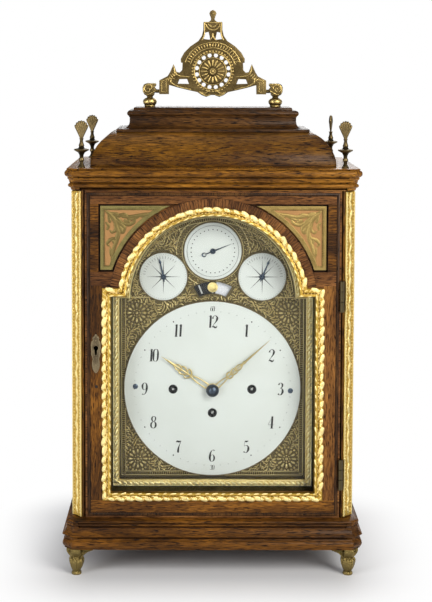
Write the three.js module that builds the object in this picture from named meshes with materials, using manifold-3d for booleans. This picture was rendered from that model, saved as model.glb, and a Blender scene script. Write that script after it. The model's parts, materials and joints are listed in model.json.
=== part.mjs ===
// Bell-top bracket clock with a break-arch door, an enamel dial with three subsidiary dials,
// a folding carrying handle, and a movement on a seat board inside the case.
// Millimetres. +X is to the right seen from the front, +Y to the back, +Z up.
// The origin is under the middle of the case, on the surface that the feet stand on.
import * as THREE from 'three';
import { mergeVertices } from 'three/addons/utils/BufferGeometryUtils.js';
import Module from 'manifold-3d';

const wasm = await Module();
wasm.setup();

// ---------------------------------------------------------------- driving dimensions

// Case
const CASE_WIDTH = 284; // over the side panels
const CASE_DEPTH = 168; // face of the front door to face of the rear door
const FOOT_HEIGHT = 29;
const BASE_HEIGHT = 30.5;
const BODY_HEIGHT = 334;
const CORNICE_HEIGHT = 22;
const BELL_HEIGHT = 34;
const CAP_HEIGHT = 25;
const PANEL = 11.8; // side panel thickness
const CORNER_CUT = 10.5; // canted front corners of the body
const MOULDING_CUT = 3.8; // canted front corners of the mouldings, on the body line
const BASE_FLOOR = 12; // board left under the well in the base
const BELL_INSET = 17.5; // foot of the bell top, inside the body line
const BELL_SWELL = 26; // how far the bell top draws in from its foot to its cap
const BELL_WALL = 10;
const PILASTER_WIDTH = 13.4;
const PILASTER_RISE = 3;

// Front door
const DOOR_THICKNESS = 18;
const DOOR_SIDE_GAP = 1.45; // holds the hinge leaves
const DOOR_END_GAP = 0.3;
const MOULDING_WIDTH = 10; // gilt moulding round the glass
const MOULDING_HALF = 112.5; // half its outer width
const MOULDING_SHOULDER = 110; // its shoulder, above the dial centre
const MOULDING_FOOT = 109.4; // its outer lower edge, below the dial centre
const ARCH_RISE = 94.6; // centre of the arches, above the dial centre
const MOULDING_ARCH = 97; // outer radius of its arch
const MOULDING_PROUD = 3.5;
const DOOR_GLASS = 2.5;
const GLASS_REBATE = 4;
const SPANDREL_MARGIN = 15.3; // corner plates to the side edges of the door
const SPANDREL_TOP = 97.4; // their upper edge, above the arch centre
const SPANDREL_ARCH = 106.5; // their curved edge
const SPANDREL_FOOT = 32.5; // their lower end, above the arch centre
const SPANDREL_THICKNESS = 2;
const SPANDREL_RECESS = 3;
const SPANDREL_SHADOW = 1.8; // open joint round each corner plate
const HINGE_LENGTH = 31;
const HINGE_RADIUS = 2.3;
const HINGE_LEAF = 0.5;
const UPPER_HINGE = 101; // middle of the upper hinge, above the dial centre
const LOWER_HINGE = 81; // middle of the lower hinge, below the dial centre
const KEYHOLE_INSET = 10.8; // keyhole to the free edge of the door
const KEYHOLE_RISE = 43.8; // keyhole above the dial centre
const BOLT_TRAVEL = 5;
const BOLT = { length: 17, height: 8, thickness: 4 };
const BOLT_WALL = 2; // wood behind the bolt
const KEY_PIN = 2.4; // radius of the keyhole in the wood

// Rear door and side windows
const REAR_THICKNESS = 12;
const REAR_RAIL = 26; // stiles and lower rail
const REAR_CROWN = 23.8; // wood over its arch
const REAR_SHOULDER = 8; // square shoulder beside its arch
const REAR_GLASS = 2.2;
const REAR_PIN = { radius: 1.6, length: 4.5, bore: 1.9 };
const CATCH_INSET = 14; // catch to the free edge
const CATCH_RISE = 40; // catch above the dial centre
const CATCH_SPINDLE = 2.3;
const KEEPER = { reach: 6, thickness: 3.6, half: 8 };
const WINDOW_HALF = 46;
const WINDOW_FOOT = 66; // its sill, below the dial centre
const WINDOW_ARCH = 104; // centre of its round head, above the dial centre
const WINDOW_REBATE = 5;

// Dial
const DIAL_FROM_BODY = 126.4; // main dial centre above the foot of the body
const DIAL_DEPTH = 30; // dial plate behind the door face
const DIAL_PLATE = 2.5;
const SIGHT_HALF = 95; // opening of the mask
const SIGHT_FOOT = 92.5; // below the dial centre
const SIGHT_ARCH = 84;
const SIGHT_BAND = 7.5; // stepped band of the mask round the dial
const MAIN_RADIUS = 91;
const MAIN_EDGE = 1.6;
const MAIN_DOME = 3;
const DATE_DIAL = { x: 0, rise: 142.7, radius: 30 };
const STRIKE_DIAL = { x: -50.6, rise: 116.3, radius: 25 };
const REPEAT_DIAL = { x: 50.6, rise: 116.3, radius: 25 };
const SMALL_DIAL = 1.8; // thickness of a subsidiary dial
const WINDING_X = 40.5;
const WINDING_DROP = 24.5;
const WINDING_HOLE = 4.3;
const APERTURE = { rise: 72.4, inner: 26, outer: 38.5, halfAngle: 31 }; // slot of the mock pendulum
const HOUR_HAND = { length: 63, boss: 8, angle: -56.8 }; // angles in degrees clockwise from upright
const MINUTE_HAND = { length: 78.5, boss: 7.6, angle: 48.4 };
const DATE_HAND = { length: 20.5, tail: 12, angle: 68 };
const STRIKE_HAND = { length: 19.5, tail: 4, angle: -12.4 };
const REPEAT_HAND = { length: 19.5, tail: 4, angle: 22.6 };
const HAND_THICKNESS = 0.9;
const HAND_STEP = 2.4; // from the hour hand to the minute hand
const PIPE_HOLE = 5.2; // dial centre hole, for the hour pipe
const SMALL_ARBOR = 1.3;

// Movement
const PLATE_HALF = 72;
const PLATE_FOOT = 87.4; // lower edge of the plates, below the dial centre
const PLATE_TOP = 86; // upper edge of the plates, above the dial centre
const PLATE = 3;
const MOTION_SPACE = 12.5; // dial plate to front plate
const PILLAR_LENGTH = 53.5;
const PILLAR_RADIUS = 4;
const SEAT_BOARD = 14;
const CLEAT = 12;
const FUSEE_WHEEL = 20;
const FUSEE_TURNS = 4;
const CANNON = { teeth: 8, radius: 5 };
const MINUTE_WHEEL = { teeth: 24, radius: 15 };
const MINUTE_PINION = { teeth: 8, radius: 4 };
const HOUR_WHEEL = { teeth: 32, radius: 16 };
const PENDULUM_LENGTH = 170;
const BOB_RADIUS = 16;
const GONG_RADIUS = 32; // hour bell
const GONG_HEIGHT = 24;
const GONG_WALL = 2;

// Handle, finials and feet
const POST_SPREAD = 65.3; // handle posts from the middle
const PIVOT_RISE = 16.5; // handle pivot above the top of the cap
const HANDLE_HALF = 56.3;
const HANDLE_THICKNESS = 7;
const ROSETTE = { rise: 21, ring: 17, hole: 2.3, count: 16, face: 12.8 }; // pierced ring of the handle
const PIVOT_RADIUS = 1.6;
const FINIAL_INSET = 9.4; // finial axis inside the body line
const FOOT_INSET = 3.5; // foot axis inside the body line

const GAP = 0.3; // running clearance between pieces
const TOUCH = 0.05; // flat faces that rest on each other
const ARC_STEPS = 12; // a large arch has twice as many chords

// ---------------------------------------------------------------- levels and lines

const bodyHalf = CASE_WIDTH / 2;
const front = -CASE_DEPTH / 2;
const back = CASE_DEPTH / 2;
const panelFace = bodyHalf - PANEL; // inner face of a side panel
const baseZ = FOOT_HEIGHT;
const bodyZ = baseZ + BASE_HEIGHT;
const corniceZ = bodyZ + BODY_HEIGHT;
const bellZ = corniceZ + CORNICE_HEIGHT;
const capZ = bellZ + BELL_HEIGHT;
const topZ = capZ + CAP_HEIGHT;
const dialZ = bodyZ + DIAL_FROM_BODY;
const archZ = dialZ + ARCH_RISE;
const pivotZ = topZ + PIVOT_RISE;

const doorHalf = panelFace - DOOR_SIDE_GAP;
const doorFoot = bodyZ + DOOR_END_GAP;
const doorTop = corniceZ - DOOR_END_GAP;
const doorBack = front + DOOR_THICKNESS;
const maskFront = doorBack + 0.4;
const dialY = front + DIAL_DEPTH; // face of the dial plate
const dialBack = dialY + DIAL_PLATE;
const plateY = dialBack + MOTION_SPACE; // face of the movement's front plate
const rearPlateY = plateY + PLATE + PILLAR_LENGTH;
const mainFace = dialY - GAP - MAIN_EDGE - MAIN_DOME; // middle of the domed dial
const hourY = mainFace - HAND_THICKNESS - 1.7;
const minuteY = hourY - HAND_STEP;
const hingeX = panelFace - DOOR_SIDE_GAP / 2;
const hingeY = front - HINGE_RADIUS - GAP;
const keyholeX = -doorHalf + KEYHOLE_INSET;
const keyholeZ = dialZ + KEYHOLE_RISE;
const boltY = doorBack - BOLT_WALL - BOLT.thickness;
const apertureZ = dialZ + APERTURE.rise; // also the verge arbor
const seatZ = dialZ - PLATE_FOOT; // top of the seat board

const rearPivotX = -panelFace + REAR_THICKNESS / 2 + GAP;
const rearPivotY = back - REAR_THICKNESS / 2;
const rearEnd = panelFace - 2 * GAP;
const rearArch = panelFace - REAR_RAIL - REAR_SHOULDER; // radius of its arched opening
const rearArchZ = doorTop - REAR_CROWN - rearArch;
const catchX = rearEnd - CATCH_INSET;
const catchZ = dialZ + CATCH_RISE;
const catchInner = back - REAR_THICKNESS - 7; // inner end of the catch spindle

// ---------------------------------------------------------------- solids

// A closed geometry as a solid, turned inside out if its faces point inwards.
function solid(geometry) {
  const loose = geometry.index ? geometry.toNonIndexed() : geometry;
  const bare = new THREE.BufferGeometry().setAttribute('position', loose.getAttribute('position'));
  const merged = mergeVertices(bare, 1e-4);
  const triangles = new Uint32Array(merged.index.array);
  const build = () => new wasm.Manifold(new wasm.Mesh({
    numProp: 3,
    vertProperties: merged.attributes.position.array,
    triVerts: triangles,
  }));
  const made = build();
  if (made.volume() > 0) return made;
  for (let i = 0; i < triangles.length; i += 3) {
    [triangles[i + 1], triangles[i + 2]] = [triangles[i + 2], triangles[i + 1]];
  }
  return build();
}

function geometryOf(made) {
  const mesh = made.getMesh();
  const indexed = new THREE.BufferGeometry();
  indexed.setAttribute('position', new THREE.BufferAttribute(new Float32Array(mesh.vertProperties), 3));
  indexed.setIndex(new THREE.BufferAttribute(new Uint32Array(mesh.triVerts), 1));
  const flat = indexed.toNonIndexed();
  flat.computeVertexNormals();
  return flat;
}

const join = (first, ...others) => others.reduce((made, other) => made.add(other), first);
const cut = (first, ...others) => others.reduce((made, other) => made.subtract(other), first);

// A block between two corners.
function block(x0, x1, y0, y1, z0, z1) {
  const box = new THREE.BoxGeometry(x1 - x0, y1 - y0, z1 - z0);
  return solid(box.translate((x0 + x1) / 2, (y0 + y1) / 2, (z0 + z1) / 2));
}

// A turned piece: [radius, height] points about a vertical axis.
function turned(points, sides = 24, at = [0, 0, 0]) {
  const lathe = new THREE.LatheGeometry(points.map(([r, z]) => new THREE.Vector2(r, z)), sides);
  return solid(lathe.rotateX(Math.PI / 2).translate(...at));
}

// The same about a front-to-back axis: [radius, y] points.
function turnedAlongY(points, sides, x, z) {
  const lathe = new THREE.LatheGeometry(points.map(([r, y]) => new THREE.Vector2(r, y)), sides);
  return solid(lathe.translate(x, 0, z));
}

const rodY = (radius, y0, y1, x, z, sides = 16) =>
  turnedAlongY([[0, y0], [radius, y0], [radius, y1], [0, y1]], sides, x, z);

// A rod across the clock, from x0 to x1.
function rodX(radius, x0, x1, y, z, sides = 16) {
  const rod = new THREE.CylinderGeometry(radius, radius, x1 - x0, sides).rotateZ(Math.PI / 2);
  return solid(rod.translate((x0 + x1) / 2, y, z));
}

// An outline of the front elevation, [x, z], given a thickness backwards from y.
function sheet(shape, y, thickness, arcSteps = 4) {
  const options = { depth: thickness, bevelEnabled: false, curveSegments: arcSteps };
  return solid(new THREE.ExtrudeGeometry(shape, options).rotateX(Math.PI / 2).translate(0, y + thickness, 0));
}

// A plan outline, [x, y], raised from z0 to z1.
function raised(points, z0, z1) {
  const shape = new THREE.Shape(points.map(([x, y]) => new THREE.Vector2(x, y)));
  return solid(new THREE.ExtrudeGeometry(shape, { depth: z1 - z0, bevelEnabled: false }).translate(0, 0, z0));
}

const outlineOf = (points) => new THREE.Shape(points.map(([x, z]) => new THREE.Vector2(x, z)));

function circle(x, z, radius) {
  const shape = new THREE.Shape();
  shape.absarc(x, z, radius, 0, 2 * Math.PI, false);
  return shape;
}

// A straight-sided outline with an arched head on square shoulders.
function breakArch(half, foot, shoulder, radius, centre = archZ) {
  const shape = new THREE.Shape();
  const spring = Math.asin((shoulder - centre) / radius);
  shape.moveTo(-half, foot);
  shape.lineTo(half, foot);
  shape.lineTo(half, shoulder);
  shape.absarc(0, centre, radius, spring, Math.PI - spring, false);
  shape.lineTo(-half, shoulder);
  shape.lineTo(-half, foot);
  return shape;
}

// The outline of the gilt moulding, drawn in by an inset.
const mouldingOutline = (inset) => breakArch(
  MOULDING_HALF - inset,
  dialZ - MOULDING_FOOT + inset,
  dialZ + MOULDING_SHOULDER - inset,
  MOULDING_ARCH - inset,
);

const sightOutline = (grow) => breakArch(
  SIGHT_HALF + grow,
  dialZ - SIGHT_FOOT - grow,
  archZ + grow,
  SIGHT_ARCH + grow,
);

// A moulded block: its plan follows the body line, stepped out by each [out, z] point.
function moulded(profile, halfX, halfY, corner) {
  const grow = 2 - Math.SQRT2; // an offset canted corner widens by this share of the offset
  const rings = profile.map(([out, z]) => {
    const [x, y, c] = [halfX + out, halfY + out, corner > 0 ? corner + out * grow : 0];
    const plan = c > 0
      ? [[-x + c, -y], [x - c, -y], [x, -y + c], [x, y], [-x, y], [-x, -y + c]]
      : [[-x, -y], [x, -y], [x, y], [-x, y]];
    return plan.map((point) => [...point, z]);
  });
  const count = rings[0].length;
  const corners = rings.flat();
  const faces = [];
  for (let side = 1; side < count - 1; side++) {
    const top = (rings.length - 1) * count;
    faces.push([0, side + 1, side], [top, top + side, top + side + 1]);
  }
  for (let ring = 0; ring < rings.length - 1; ring++) {
    for (let side = 0; side < count; side++) {
      const a = ring * count + side;
      const b = ring * count + (side + 1) % count;
      faces.push([a, b, b + count], [a, b + count, a + count]);
    }
  }
  const positions = faces.flat().flatMap((i) => corners[i]);
  const geometry = new THREE.BufferGeometry();
  geometry.setAttribute('position', new THREE.BufferAttribute(new Float32Array(positions), 3));
  return solid(geometry);
}

// Points of a profile along a circular arc, angles in degrees.
function arc(out, z, radius, from, to, steps) {
  return Array.from({ length: steps + 1 }, (_, i) => {
    const angle = THREE.MathUtils.degToRad(from + ((to - from) * i) / steps);
    return [out + radius * Math.cos(angle), z + radius * Math.sin(angle)];
  });
}

// A toothed outline. The first tooth points along the given angle, in degrees from +X.
function gear({ teeth, radius }, firstTooth, bore, x, z) {
  const module = (2 * radius) / teeth;
  const pitch = (2 * Math.PI) / teeth;
  const start = THREE.MathUtils.degToRad(firstTooth);
  const corners = [
    [-0.3, radius - 1.25 * module],
    [-0.13, radius + 0.7 * module],
    [0.13, radius + 0.7 * module],
    [0.3, radius - 1.25 * module],
  ];
  const points = [];
  for (let tooth = 0; tooth < teeth; tooth++) {
    for (const [share, r] of corners) {
      const angle = start + (tooth + share) * pitch;
      points.push([x + r * Math.cos(angle), z + r * Math.sin(angle)]);
    }
  }
  const shape = outlineOf(points);
  if (bore > 0) shape.holes.push(circle(x, z, bore));
  return shape;
}

// ---------------------------------------------------------------- the assembly

const clock = new THREE.Group();

const finish = {
  wood: { color: 0x5a3a22, roughness: 0.35, metalness: 0 },
  gilt: { color: 0xd9b44a, roughness: 0.35, metalness: 1 },
  brass: { color: 0x9c8350, roughness: 0.4, metalness: 1 },
  dialBrass: { color: 0x8f8458, roughness: 0.5, metalness: 1 },
  enamel: { color: 0xdfe3e0, roughness: 0.15, metalness: 0 },
  blued: { color: 0x2a3038, roughness: 0.3, metalness: 1 },
  steel: { color: 0x9a9a98, roughness: 0.35, metalness: 1 },
  glass: { color: 0xf4f8f8, roughness: 0.02, metalness: 0 },
};

function add(name, made, look) {
  const mesh = new THREE.Mesh(geometryOf(made), new THREE.MeshStandardMaterial(finish[look]));
  mesh.name = name;
  clock.add(mesh);
  return mesh;
}

// ---------------------------------------------------------------- case

// A pin of the rear door, or its bore.
const rearPin = (radius, z0, z1) =>
  turned([[0, z0], [radius, z0], [radius, z1], [0, z1]], 12, [rearPivotX, rearPivotY, 0]);

function basePlinth() {
  const z = baseZ;
  const profile = [
    [8.6, z], ...arc(5.2, z + 5, 5.1, -60, 62, 6), [7.4, z + 10.2], [7.4, z + 11.6],
    ...arc(16.4, z + 22.6, 10.2, 236, 180, 5),
    [5.4, z + 23.6], [6.4, z + 24], [6.4, z + 25.8], ...arc(5.2, z + 27.4, 1.7, -70, 80, 4),
    [2.5, z + BASE_HEIGHT - 0.6], [0, z + BASE_HEIGHT],
  ];
  const well = block(-panelFace + 6, panelFace - 6, front + 22, back - 16, z + BASE_FLOOR, bodyZ + 1);
  const pivotHole = rearPin(REAR_PIN.bore, bodyZ - 6, bodyZ + 1);
  return cut(moulded(profile, bodyHalf, CASE_DEPTH / 2, MOULDING_CUT), well, pivotHole);
}

function cornice() {
  const z = corniceZ;
  const profile = [
    [0.4, z], [1.2, z + 2.6], ...arc(1.9, z + 4.9, 1.9, -80, 80, 5), [1.5, z + 7.2], [2.4, z + 8],
    ...arc(6.4, z + 8.4, 3.9, 180, 126, 3), [4.4, z + 12.4], [3.9, z + 13.2],
    ...arc(3.6, z + 17, 3.6, -80, 80, 6), [5.2, z + 21.2], [4.7, z + CORNICE_HEIGHT],
  ];
  const well = block(
    -bodyHalf + BELL_INSET + BELL_WALL, bodyHalf - BELL_INSET - BELL_WALL,
    front + BELL_INSET + BELL_WALL, back - BELL_INSET - BELL_WALL, z - 1, bellZ + 1,
  );
  const pivotHole = rearPin(REAR_PIN.bore, z - 1, z + 6);
  return cut(moulded(profile, bodyHalf, CASE_DEPTH / 2, MOULDING_CUT), well, pivotHole);
}

// The bell top: upright at its foot, then drawn in along a quarter of a rounded curve.
function bellTop() {
  const upright = 3;
  const rise = BELL_HEIGHT - upright;
  const fullness = 2 / 1.75;
  const curve = (inset, foot, height) => {
    const steps = 9;
    return Array.from({ length: steps + 1 }, (_, i) => {
      const angle = (Math.PI / 2) * (i / steps);
      const draw = (BELL_SWELL - inset) * (1 - Math.cos(angle) ** fullness);
      return [-inset - draw, foot + height * Math.sin(angle) ** fullness];
    });
  };
  const [x, y] = [bodyHalf - BELL_INSET, CASE_DEPTH / 2 - BELL_INSET];
  const outside = moulded([[0, bellZ + TOUCH], ...curve(0, bellZ + upright, rise - TOUCH)], x, y, 0);
  const inside = moulded(
    [[-BELL_WALL, bellZ - 1], ...curve(BELL_WALL, bellZ + upright, rise - BELL_WALL)], x, y, 0);
  return cut(outside, inside);
}

// Fillet, cove, torus and flat top plate above the bell.
function bellTopCap() {
  const z = capZ;
  const [x, y] = [bodyHalf - BELL_INSET - BELL_SWELL, CASE_DEPTH / 2 - BELL_INSET - BELL_SWELL];
  const profile = [
    [0.9, z], [0.9, z + 3.2], [-5.4, z + 3.4], ...arc(-5.2, z + 10.4, 7, 265, 180, 4), [-12.2, z + 15],
    [-11.4, z + 15.4], ...arc(-12.6, z + 19, 3, -70, 80, 5), [-15.6, z + 22.2],
    [-16.2, z + 22.6], [-16.2, z + CAP_HEIGHT - 0.5], [-16.8, z + CAP_HEIGHT],
  ];
  return moulded(profile, x, y, 0);
}

// A side window seen from the side: upright sides and a round head, grown by an amount.
function windowBlock(x0, x1, grow) {
  const shape = new THREE.Shape();
  const half = WINDOW_HALF + grow;
  const sill = dialZ - WINDOW_FOOT - grow;
  shape.moveTo(-half, sill);
  shape.lineTo(half, sill);
  shape.absarc(0, dialZ + WINDOW_ARCH, half, 0, Math.PI, false);
  shape.lineTo(-half, sill);
  const options = { depth: x1 - x0, bevelEnabled: false, curveSegments: ARC_STEPS };
  const geometry = new THREE.ExtrudeGeometry(shape, options).rotateX(Math.PI / 2).rotateZ(Math.PI / 2);
  return solid(geometry.translate(x0, 0, 0));
}

// Plan of a side panel with its canted front corner. The side is -1 for left, +1 for right.
function sidePanel(side) {
  const [outer, inner] = [side * bodyHalf, side * panelFace];
  const plan = [
    [outer, back], [inner, back], [inner, front],
    [outer - side * CORNER_CUT, front], [outer, front + CORNER_CUT],
  ];
  const [low, high] = side < 0 ? [inner, inner + CLEAT] : [inner - CLEAT, inner];
  const cleatFront = plateY - 10;
  const cleatBack = rearPlateY + PLATE;
  const cleatTop = seatZ - SEAT_BOARD - TOUCH;
  let panel = join(
    raised(plan, bodyZ + TOUCH, corniceZ - TOUCH),
    block(low - 0.5, high + 0.5, cleatFront, cleatBack, cleatTop - CLEAT, cleatTop),
  );
  const [x0, x1] = side < 0 ? [outer, inner] : [inner, outer];
  const rebate = side < 0 ? windowBlock(x1 - 4, x1 + 2, WINDOW_REBATE) : windowBlock(x0 - 2, x0 + 4, WINDOW_REBATE);
  panel = cut(panel, windowBlock(x0 - 2, x1 + 2, 0), rebate);
  if (side > 0) {
    const keeperY = catchInner + 3;
    const keeper = block(inner - KEEPER.reach, inner + 1, keeperY, keeperY + KEEPER.thickness,
      catchZ - KEEPER.half, catchZ + KEEPER.half);
    return join(panel, keeper);
  }
  const mortise = block(
    inner - BOLT_TRAVEL - 1.5, inner + 1,
    boltY - GAP, boltY + BOLT.thickness + GAP,
    keyholeZ - BOLT.height / 2 - GAP, keyholeZ + BOLT.height / 2 + GAP,
  );
  return cut(panel, mortise);
}

function sideWindow(side) {
  const inner = side * panelFace;
  const [x0, x1] = side < 0 ? [inner - 3.7, inner - 1.7] : [inner + 1.7, inner + 3.7];
  return windowBlock(x0, x1, WINDOW_REBATE - GAP);
}

// A gilt strip laid on the canted corner: a low rib between two narrow flats.
function pilaster(side) {
  const half = PILASTER_WIDTH / 2;
  const section = [
    [-half, 0], [half, 0], [half, 1.2], [half * 0.62, 1.4], [half * 0.35, PILASTER_RISE * 0.85],
    [0, PILASTER_RISE], [-half * 0.35, PILASTER_RISE * 0.85], [-half * 0.62, 1.4], [-half, 1.2],
  ];
  const middle = [side * (bodyHalf - CORNER_CUT / 2), front + CORNER_CUT / 2];
  const along = [Math.SQRT1_2, side * Math.SQRT1_2];
  const outward = [side * Math.SQRT1_2, -Math.SQRT1_2];
  const plan = section.map(([u, v]) => [
    middle[0] + along[0] * u + outward[0] * (v + GAP),
    middle[1] + along[1] * u + outward[1] * (v + GAP),
  ]);
  return raised(plan, bodyZ + 1, corniceZ - 1);
}

function seatBoard() {
  const half = panelFace - GAP;
  return block(-half, half, plateY - 10, rearPlateY + PLATE, seatZ - SEAT_BOARD, seatZ);
}

// ---------------------------------------------------------------- front door

// A corner plate of the door: two straight sides, a short foot and a curved edge beside the arch.
function spandrelOutline(side, grow) {
  const corner = doorHalf - SPANDREL_MARGIN + grow;
  const top = archZ + SPANDREL_TOP + grow;
  const radius = SPANDREL_ARCH - grow;
  const foot = SPANDREL_FOOT - grow;
  const first = Math.acos((top - archZ) / radius); // from the vertical, at the tip
  const last = Math.acos(foot / radius);
  const steps = 12;
  const points = [[corner, archZ + foot], [corner, top]];
  for (let i = 0; i <= steps; i++) {
    const angle = first + ((last - first) * i) / steps;
    points.push([radius * Math.sin(angle), archZ + radius * Math.cos(angle)]);
  }
  return outlineOf(points.map(([x, z]) => [side * x, z]));
}

function doorFrame() {
  const outline = outlineOf([[-doorHalf, doorFoot], [doorHalf, doorFoot], [doorHalf, doorTop], [-doorHalf, doorTop]]);
  outline.holes.push(mouldingOutline(MOULDING_WIDTH - 1.5));
  const glassStep = front + 7;
  const bolt = BOLT.height / 2 + GAP;
  return cut(
    sheet(outline, front, DOOR_THICKNESS, ARC_STEPS),
    sheet(mouldingOutline(MOULDING_WIDTH - 1.5 - GLASS_REBATE), glassStep, DOOR_THICKNESS, ARC_STEPS),
    sheet(spandrelOutline(-1, SPANDREL_SHADOW), front - 1, SPANDREL_RECESS + 1),
    sheet(spandrelOutline(1, SPANDREL_SHADOW), front - 1, SPANDREL_RECESS + 1),
    block(-doorHalf - 1, keyholeX + BOLT.length / 2 + BOLT_TRAVEL, boltY - GAP, boltY + BOLT.thickness + GAP,
      keyholeZ - bolt, keyholeZ + bolt),
    rodY(KEY_PIN, front - 1, boltY, keyholeX, keyholeZ, 12),
    block(keyholeX - 1, keyholeX + 1, front - 1, boltY, keyholeZ - 5, keyholeZ),
  );
}

// Carved gilt moulding: a broad band on the door and a higher rib at the glass.
function doorMoulding() {
  const band = mouldingOutline(0);
  band.holes.push(mouldingOutline(MOULDING_WIDTH));
  const rib = mouldingOutline(MOULDING_WIDTH * 0.66);
  rib.holes.push(mouldingOutline(MOULDING_WIDTH));
  return join(
    sheet(band, front - MOULDING_PROUD + 1, MOULDING_PROUD - 1 - TOUCH, ARC_STEPS),
    sheet(rib, front - MOULDING_PROUD, MOULDING_PROUD - TOUCH, ARC_STEPS),
  );
}

function doorGlass() {
  const edge = MOULDING_WIDTH - 1.5 - GLASS_REBATE + GAP;
  return sheet(mouldingOutline(edge), front + 7 + TOUCH, DOOR_GLASS, ARC_STEPS);
}

const spandrel = (side) =>
  sheet(spandrelOutline(side, 0), front + SPANDREL_RECESS - SPANDREL_THICKNESS - TOUCH, SPANDREL_THICKNESS);

// Keyhole plate with a waisted outline.
function escutcheon() {
  const half = [[2, -21.5], [4.4, -19], [4.8, -13], [3.6, -7], [4.9, -1], [5, 6], [3.8, 11], [4.6, 15], [2.2, 18.5]];
  const outline = outlineOf([
    ...half.map(([x, z]) => [keyholeX + x, keyholeZ + z]),
    ...half.reverse().map(([x, z]) => [keyholeX - x, keyholeZ + z]),
  ]);
  return cut(
    sheet(outline, front - 1.2, 1.2 - TOUCH),
    rodY(1.9, front - 3, front + 1, keyholeX, keyholeZ, 16),
    block(keyholeX - 0.9, keyholeX + 0.9, front - 3, front + 1, keyholeZ - 5, keyholeZ),
  );
}

function lockBolt() {
  const left = -doorHalf + GAP;
  return block(left, left + BOLT.length, boltY, boltY + BOLT.thickness,
    keyholeZ - BOLT.height / 2, keyholeZ + BOLT.height / 2);
}

const knuckleThird = (HINGE_LENGTH - 4 * GAP) / 3;

// The case half of a hinge: a leaf with the two outer knuckles and the pin.
function caseHinge(middle) {
  const bottom = middle - HINGE_LENGTH / 2;
  const knuckle = (z) => turned(
    [[0, z], [HINGE_RADIUS, z], [HINGE_RADIUS, z + knuckleThird], [0, z + knuckleThird]], 16, [hingeX, hingeY, 0]);
  const leafX = panelFace - TOUCH;
  const leaf = (z) => block(leafX - HINGE_LEAF, leafX, hingeY, front + 12, z, z + knuckleThird);
  const upper = bottom + HINGE_LENGTH - knuckleThird;
  return join(
    knuckle(bottom), knuckle(upper), leaf(bottom), leaf(upper),
    turned([[0, bottom], [0.9, bottom], [0.9, upper + 1], [0, upper + 1]], 10, [hingeX, hingeY, 0]),
    block(leafX - HINGE_LEAF, leafX, front + 4, front + 12, bottom, bottom + HINGE_LENGTH),
  );
}

// The door half: a leaf with the middle knuckle, bored for the pin.
function doorHinge(middle) {
  const bottom = middle - knuckleThird / 2;
  const top = middle + knuckleThird / 2;
  const leafX = doorHalf + TOUCH;
  return cut(
    join(
      turned([[0, bottom], [HINGE_RADIUS, bottom], [HINGE_RADIUS, top], [0, top]], 16, [hingeX, hingeY, 0]),
      block(leafX, leafX + HINGE_LEAF, hingeY, front + 12, bottom, top),
    ),
    turned([[0, bottom - 1], [0.9 + GAP, bottom - 1], [0.9 + GAP, top + 1], [0, top + 1]], 10, [hingeX, hingeY, 0]),
  );
}

// ---------------------------------------------------------------- rear door

const rearOpening = (inset) => breakArch(
  panelFace - REAR_RAIL - inset,
  doorFoot + REAR_RAIL + inset,
  rearArchZ + 10 - inset,
  rearArch - inset,
  rearArchZ,
);

// The rear door turns on pins at its rounded edge, so it needs no room beside the panel.
function rearDoor() {
  const plan = [[rearEnd, back - REAR_THICKNESS], [rearEnd, back], [rearPivotX, back]];
  const steps = 8;
  for (let i = 1; i < steps; i++) {
    const angle = Math.PI / 2 + (Math.PI * i) / steps;
    plan.push([rearPivotX + (REAR_THICKNESS / 2) * Math.cos(angle), rearPivotY + (REAR_THICKNESS / 2) * Math.sin(angle)]);
  }
  plan.push([rearPivotX, back - REAR_THICKNESS]);
  return join(
    cut(
      raised(plan, doorFoot, doorTop),
      sheet(rearOpening(0), back - REAR_THICKNESS - 1, REAR_THICKNESS + 2, ARC_STEPS),
      sheet(rearOpening(-GLASS_REBATE), back - REAR_THICKNESS - 1, 6, ARC_STEPS),
      rodY(CATCH_SPINDLE + GAP, back - REAR_THICKNESS - 1, back + 1, catchX, catchZ, 12),
    ),
    rearPin(REAR_PIN.radius, doorFoot - REAR_PIN.length, doorFoot + 1),
    rearPin(REAR_PIN.radius, doorTop - 1, doorTop + REAR_PIN.length),
  );
}

const rearGlass = () => sheet(rearOpening(GAP - GLASS_REBATE), back - REAR_THICKNESS + 2.7, REAR_GLASS, ARC_STEPS);

// Turn catch: a knob outside, a spindle through the door and a tongue inside, drawn unlocked.
// A quarter turn brings the tongue behind the keeper on the side panel.
function rearCatch() {
  const knobFace = back + GAP;
  return join(
    rodY(CATCH_SPINDLE, catchInner, back + 2, catchX, catchZ, 12),
    turnedAlongY([[0, knobFace], [7, knobFace], [7, knobFace + 1], [3, knobFace + 2], [3, knobFace + 5], [0, knobFace + 5]],
      16, catchX, catchZ),
    block(catchX - 9, catchX + 9, knobFace + 4, knobFace + 9, catchZ - 2, catchZ + 2),
    block(catchX - 3, catchX + 3, catchInner, catchInner + 2.6, catchZ - 3, catchZ + 14),
  );
}

// ---------------------------------------------------------------- dial

function dialMask() {
  const half = panelFace - GAP;
  const outline = outlineOf([[-half, doorFoot], [half, doorFoot], [half, doorTop], [-half, doorTop]]);
  outline.holes.push(sightOutline(0));
  const backFace = dialY - GAP;
  return cut(
    sheet(outline, maskFront, backFace - maskFront, ARC_STEPS),
    sheet(sightOutline(SIGHT_BAND), maskFront - 1, 5, ARC_STEPS),
  );
}

// The slot where the mock pendulum shows: part of a ring about the verge arbor.
function apertureOutline() {
  const half = THREE.MathUtils.degToRad(APERTURE.halfAngle);
  const shape = new THREE.Shape();
  shape.absarc(0, apertureZ, APERTURE.outer, Math.PI / 2 - half, Math.PI / 2 + half, false);
  shape.absarc(0, apertureZ, APERTURE.inner, Math.PI / 2 + half, Math.PI / 2 - half, true);
  return shape;
}

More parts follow.
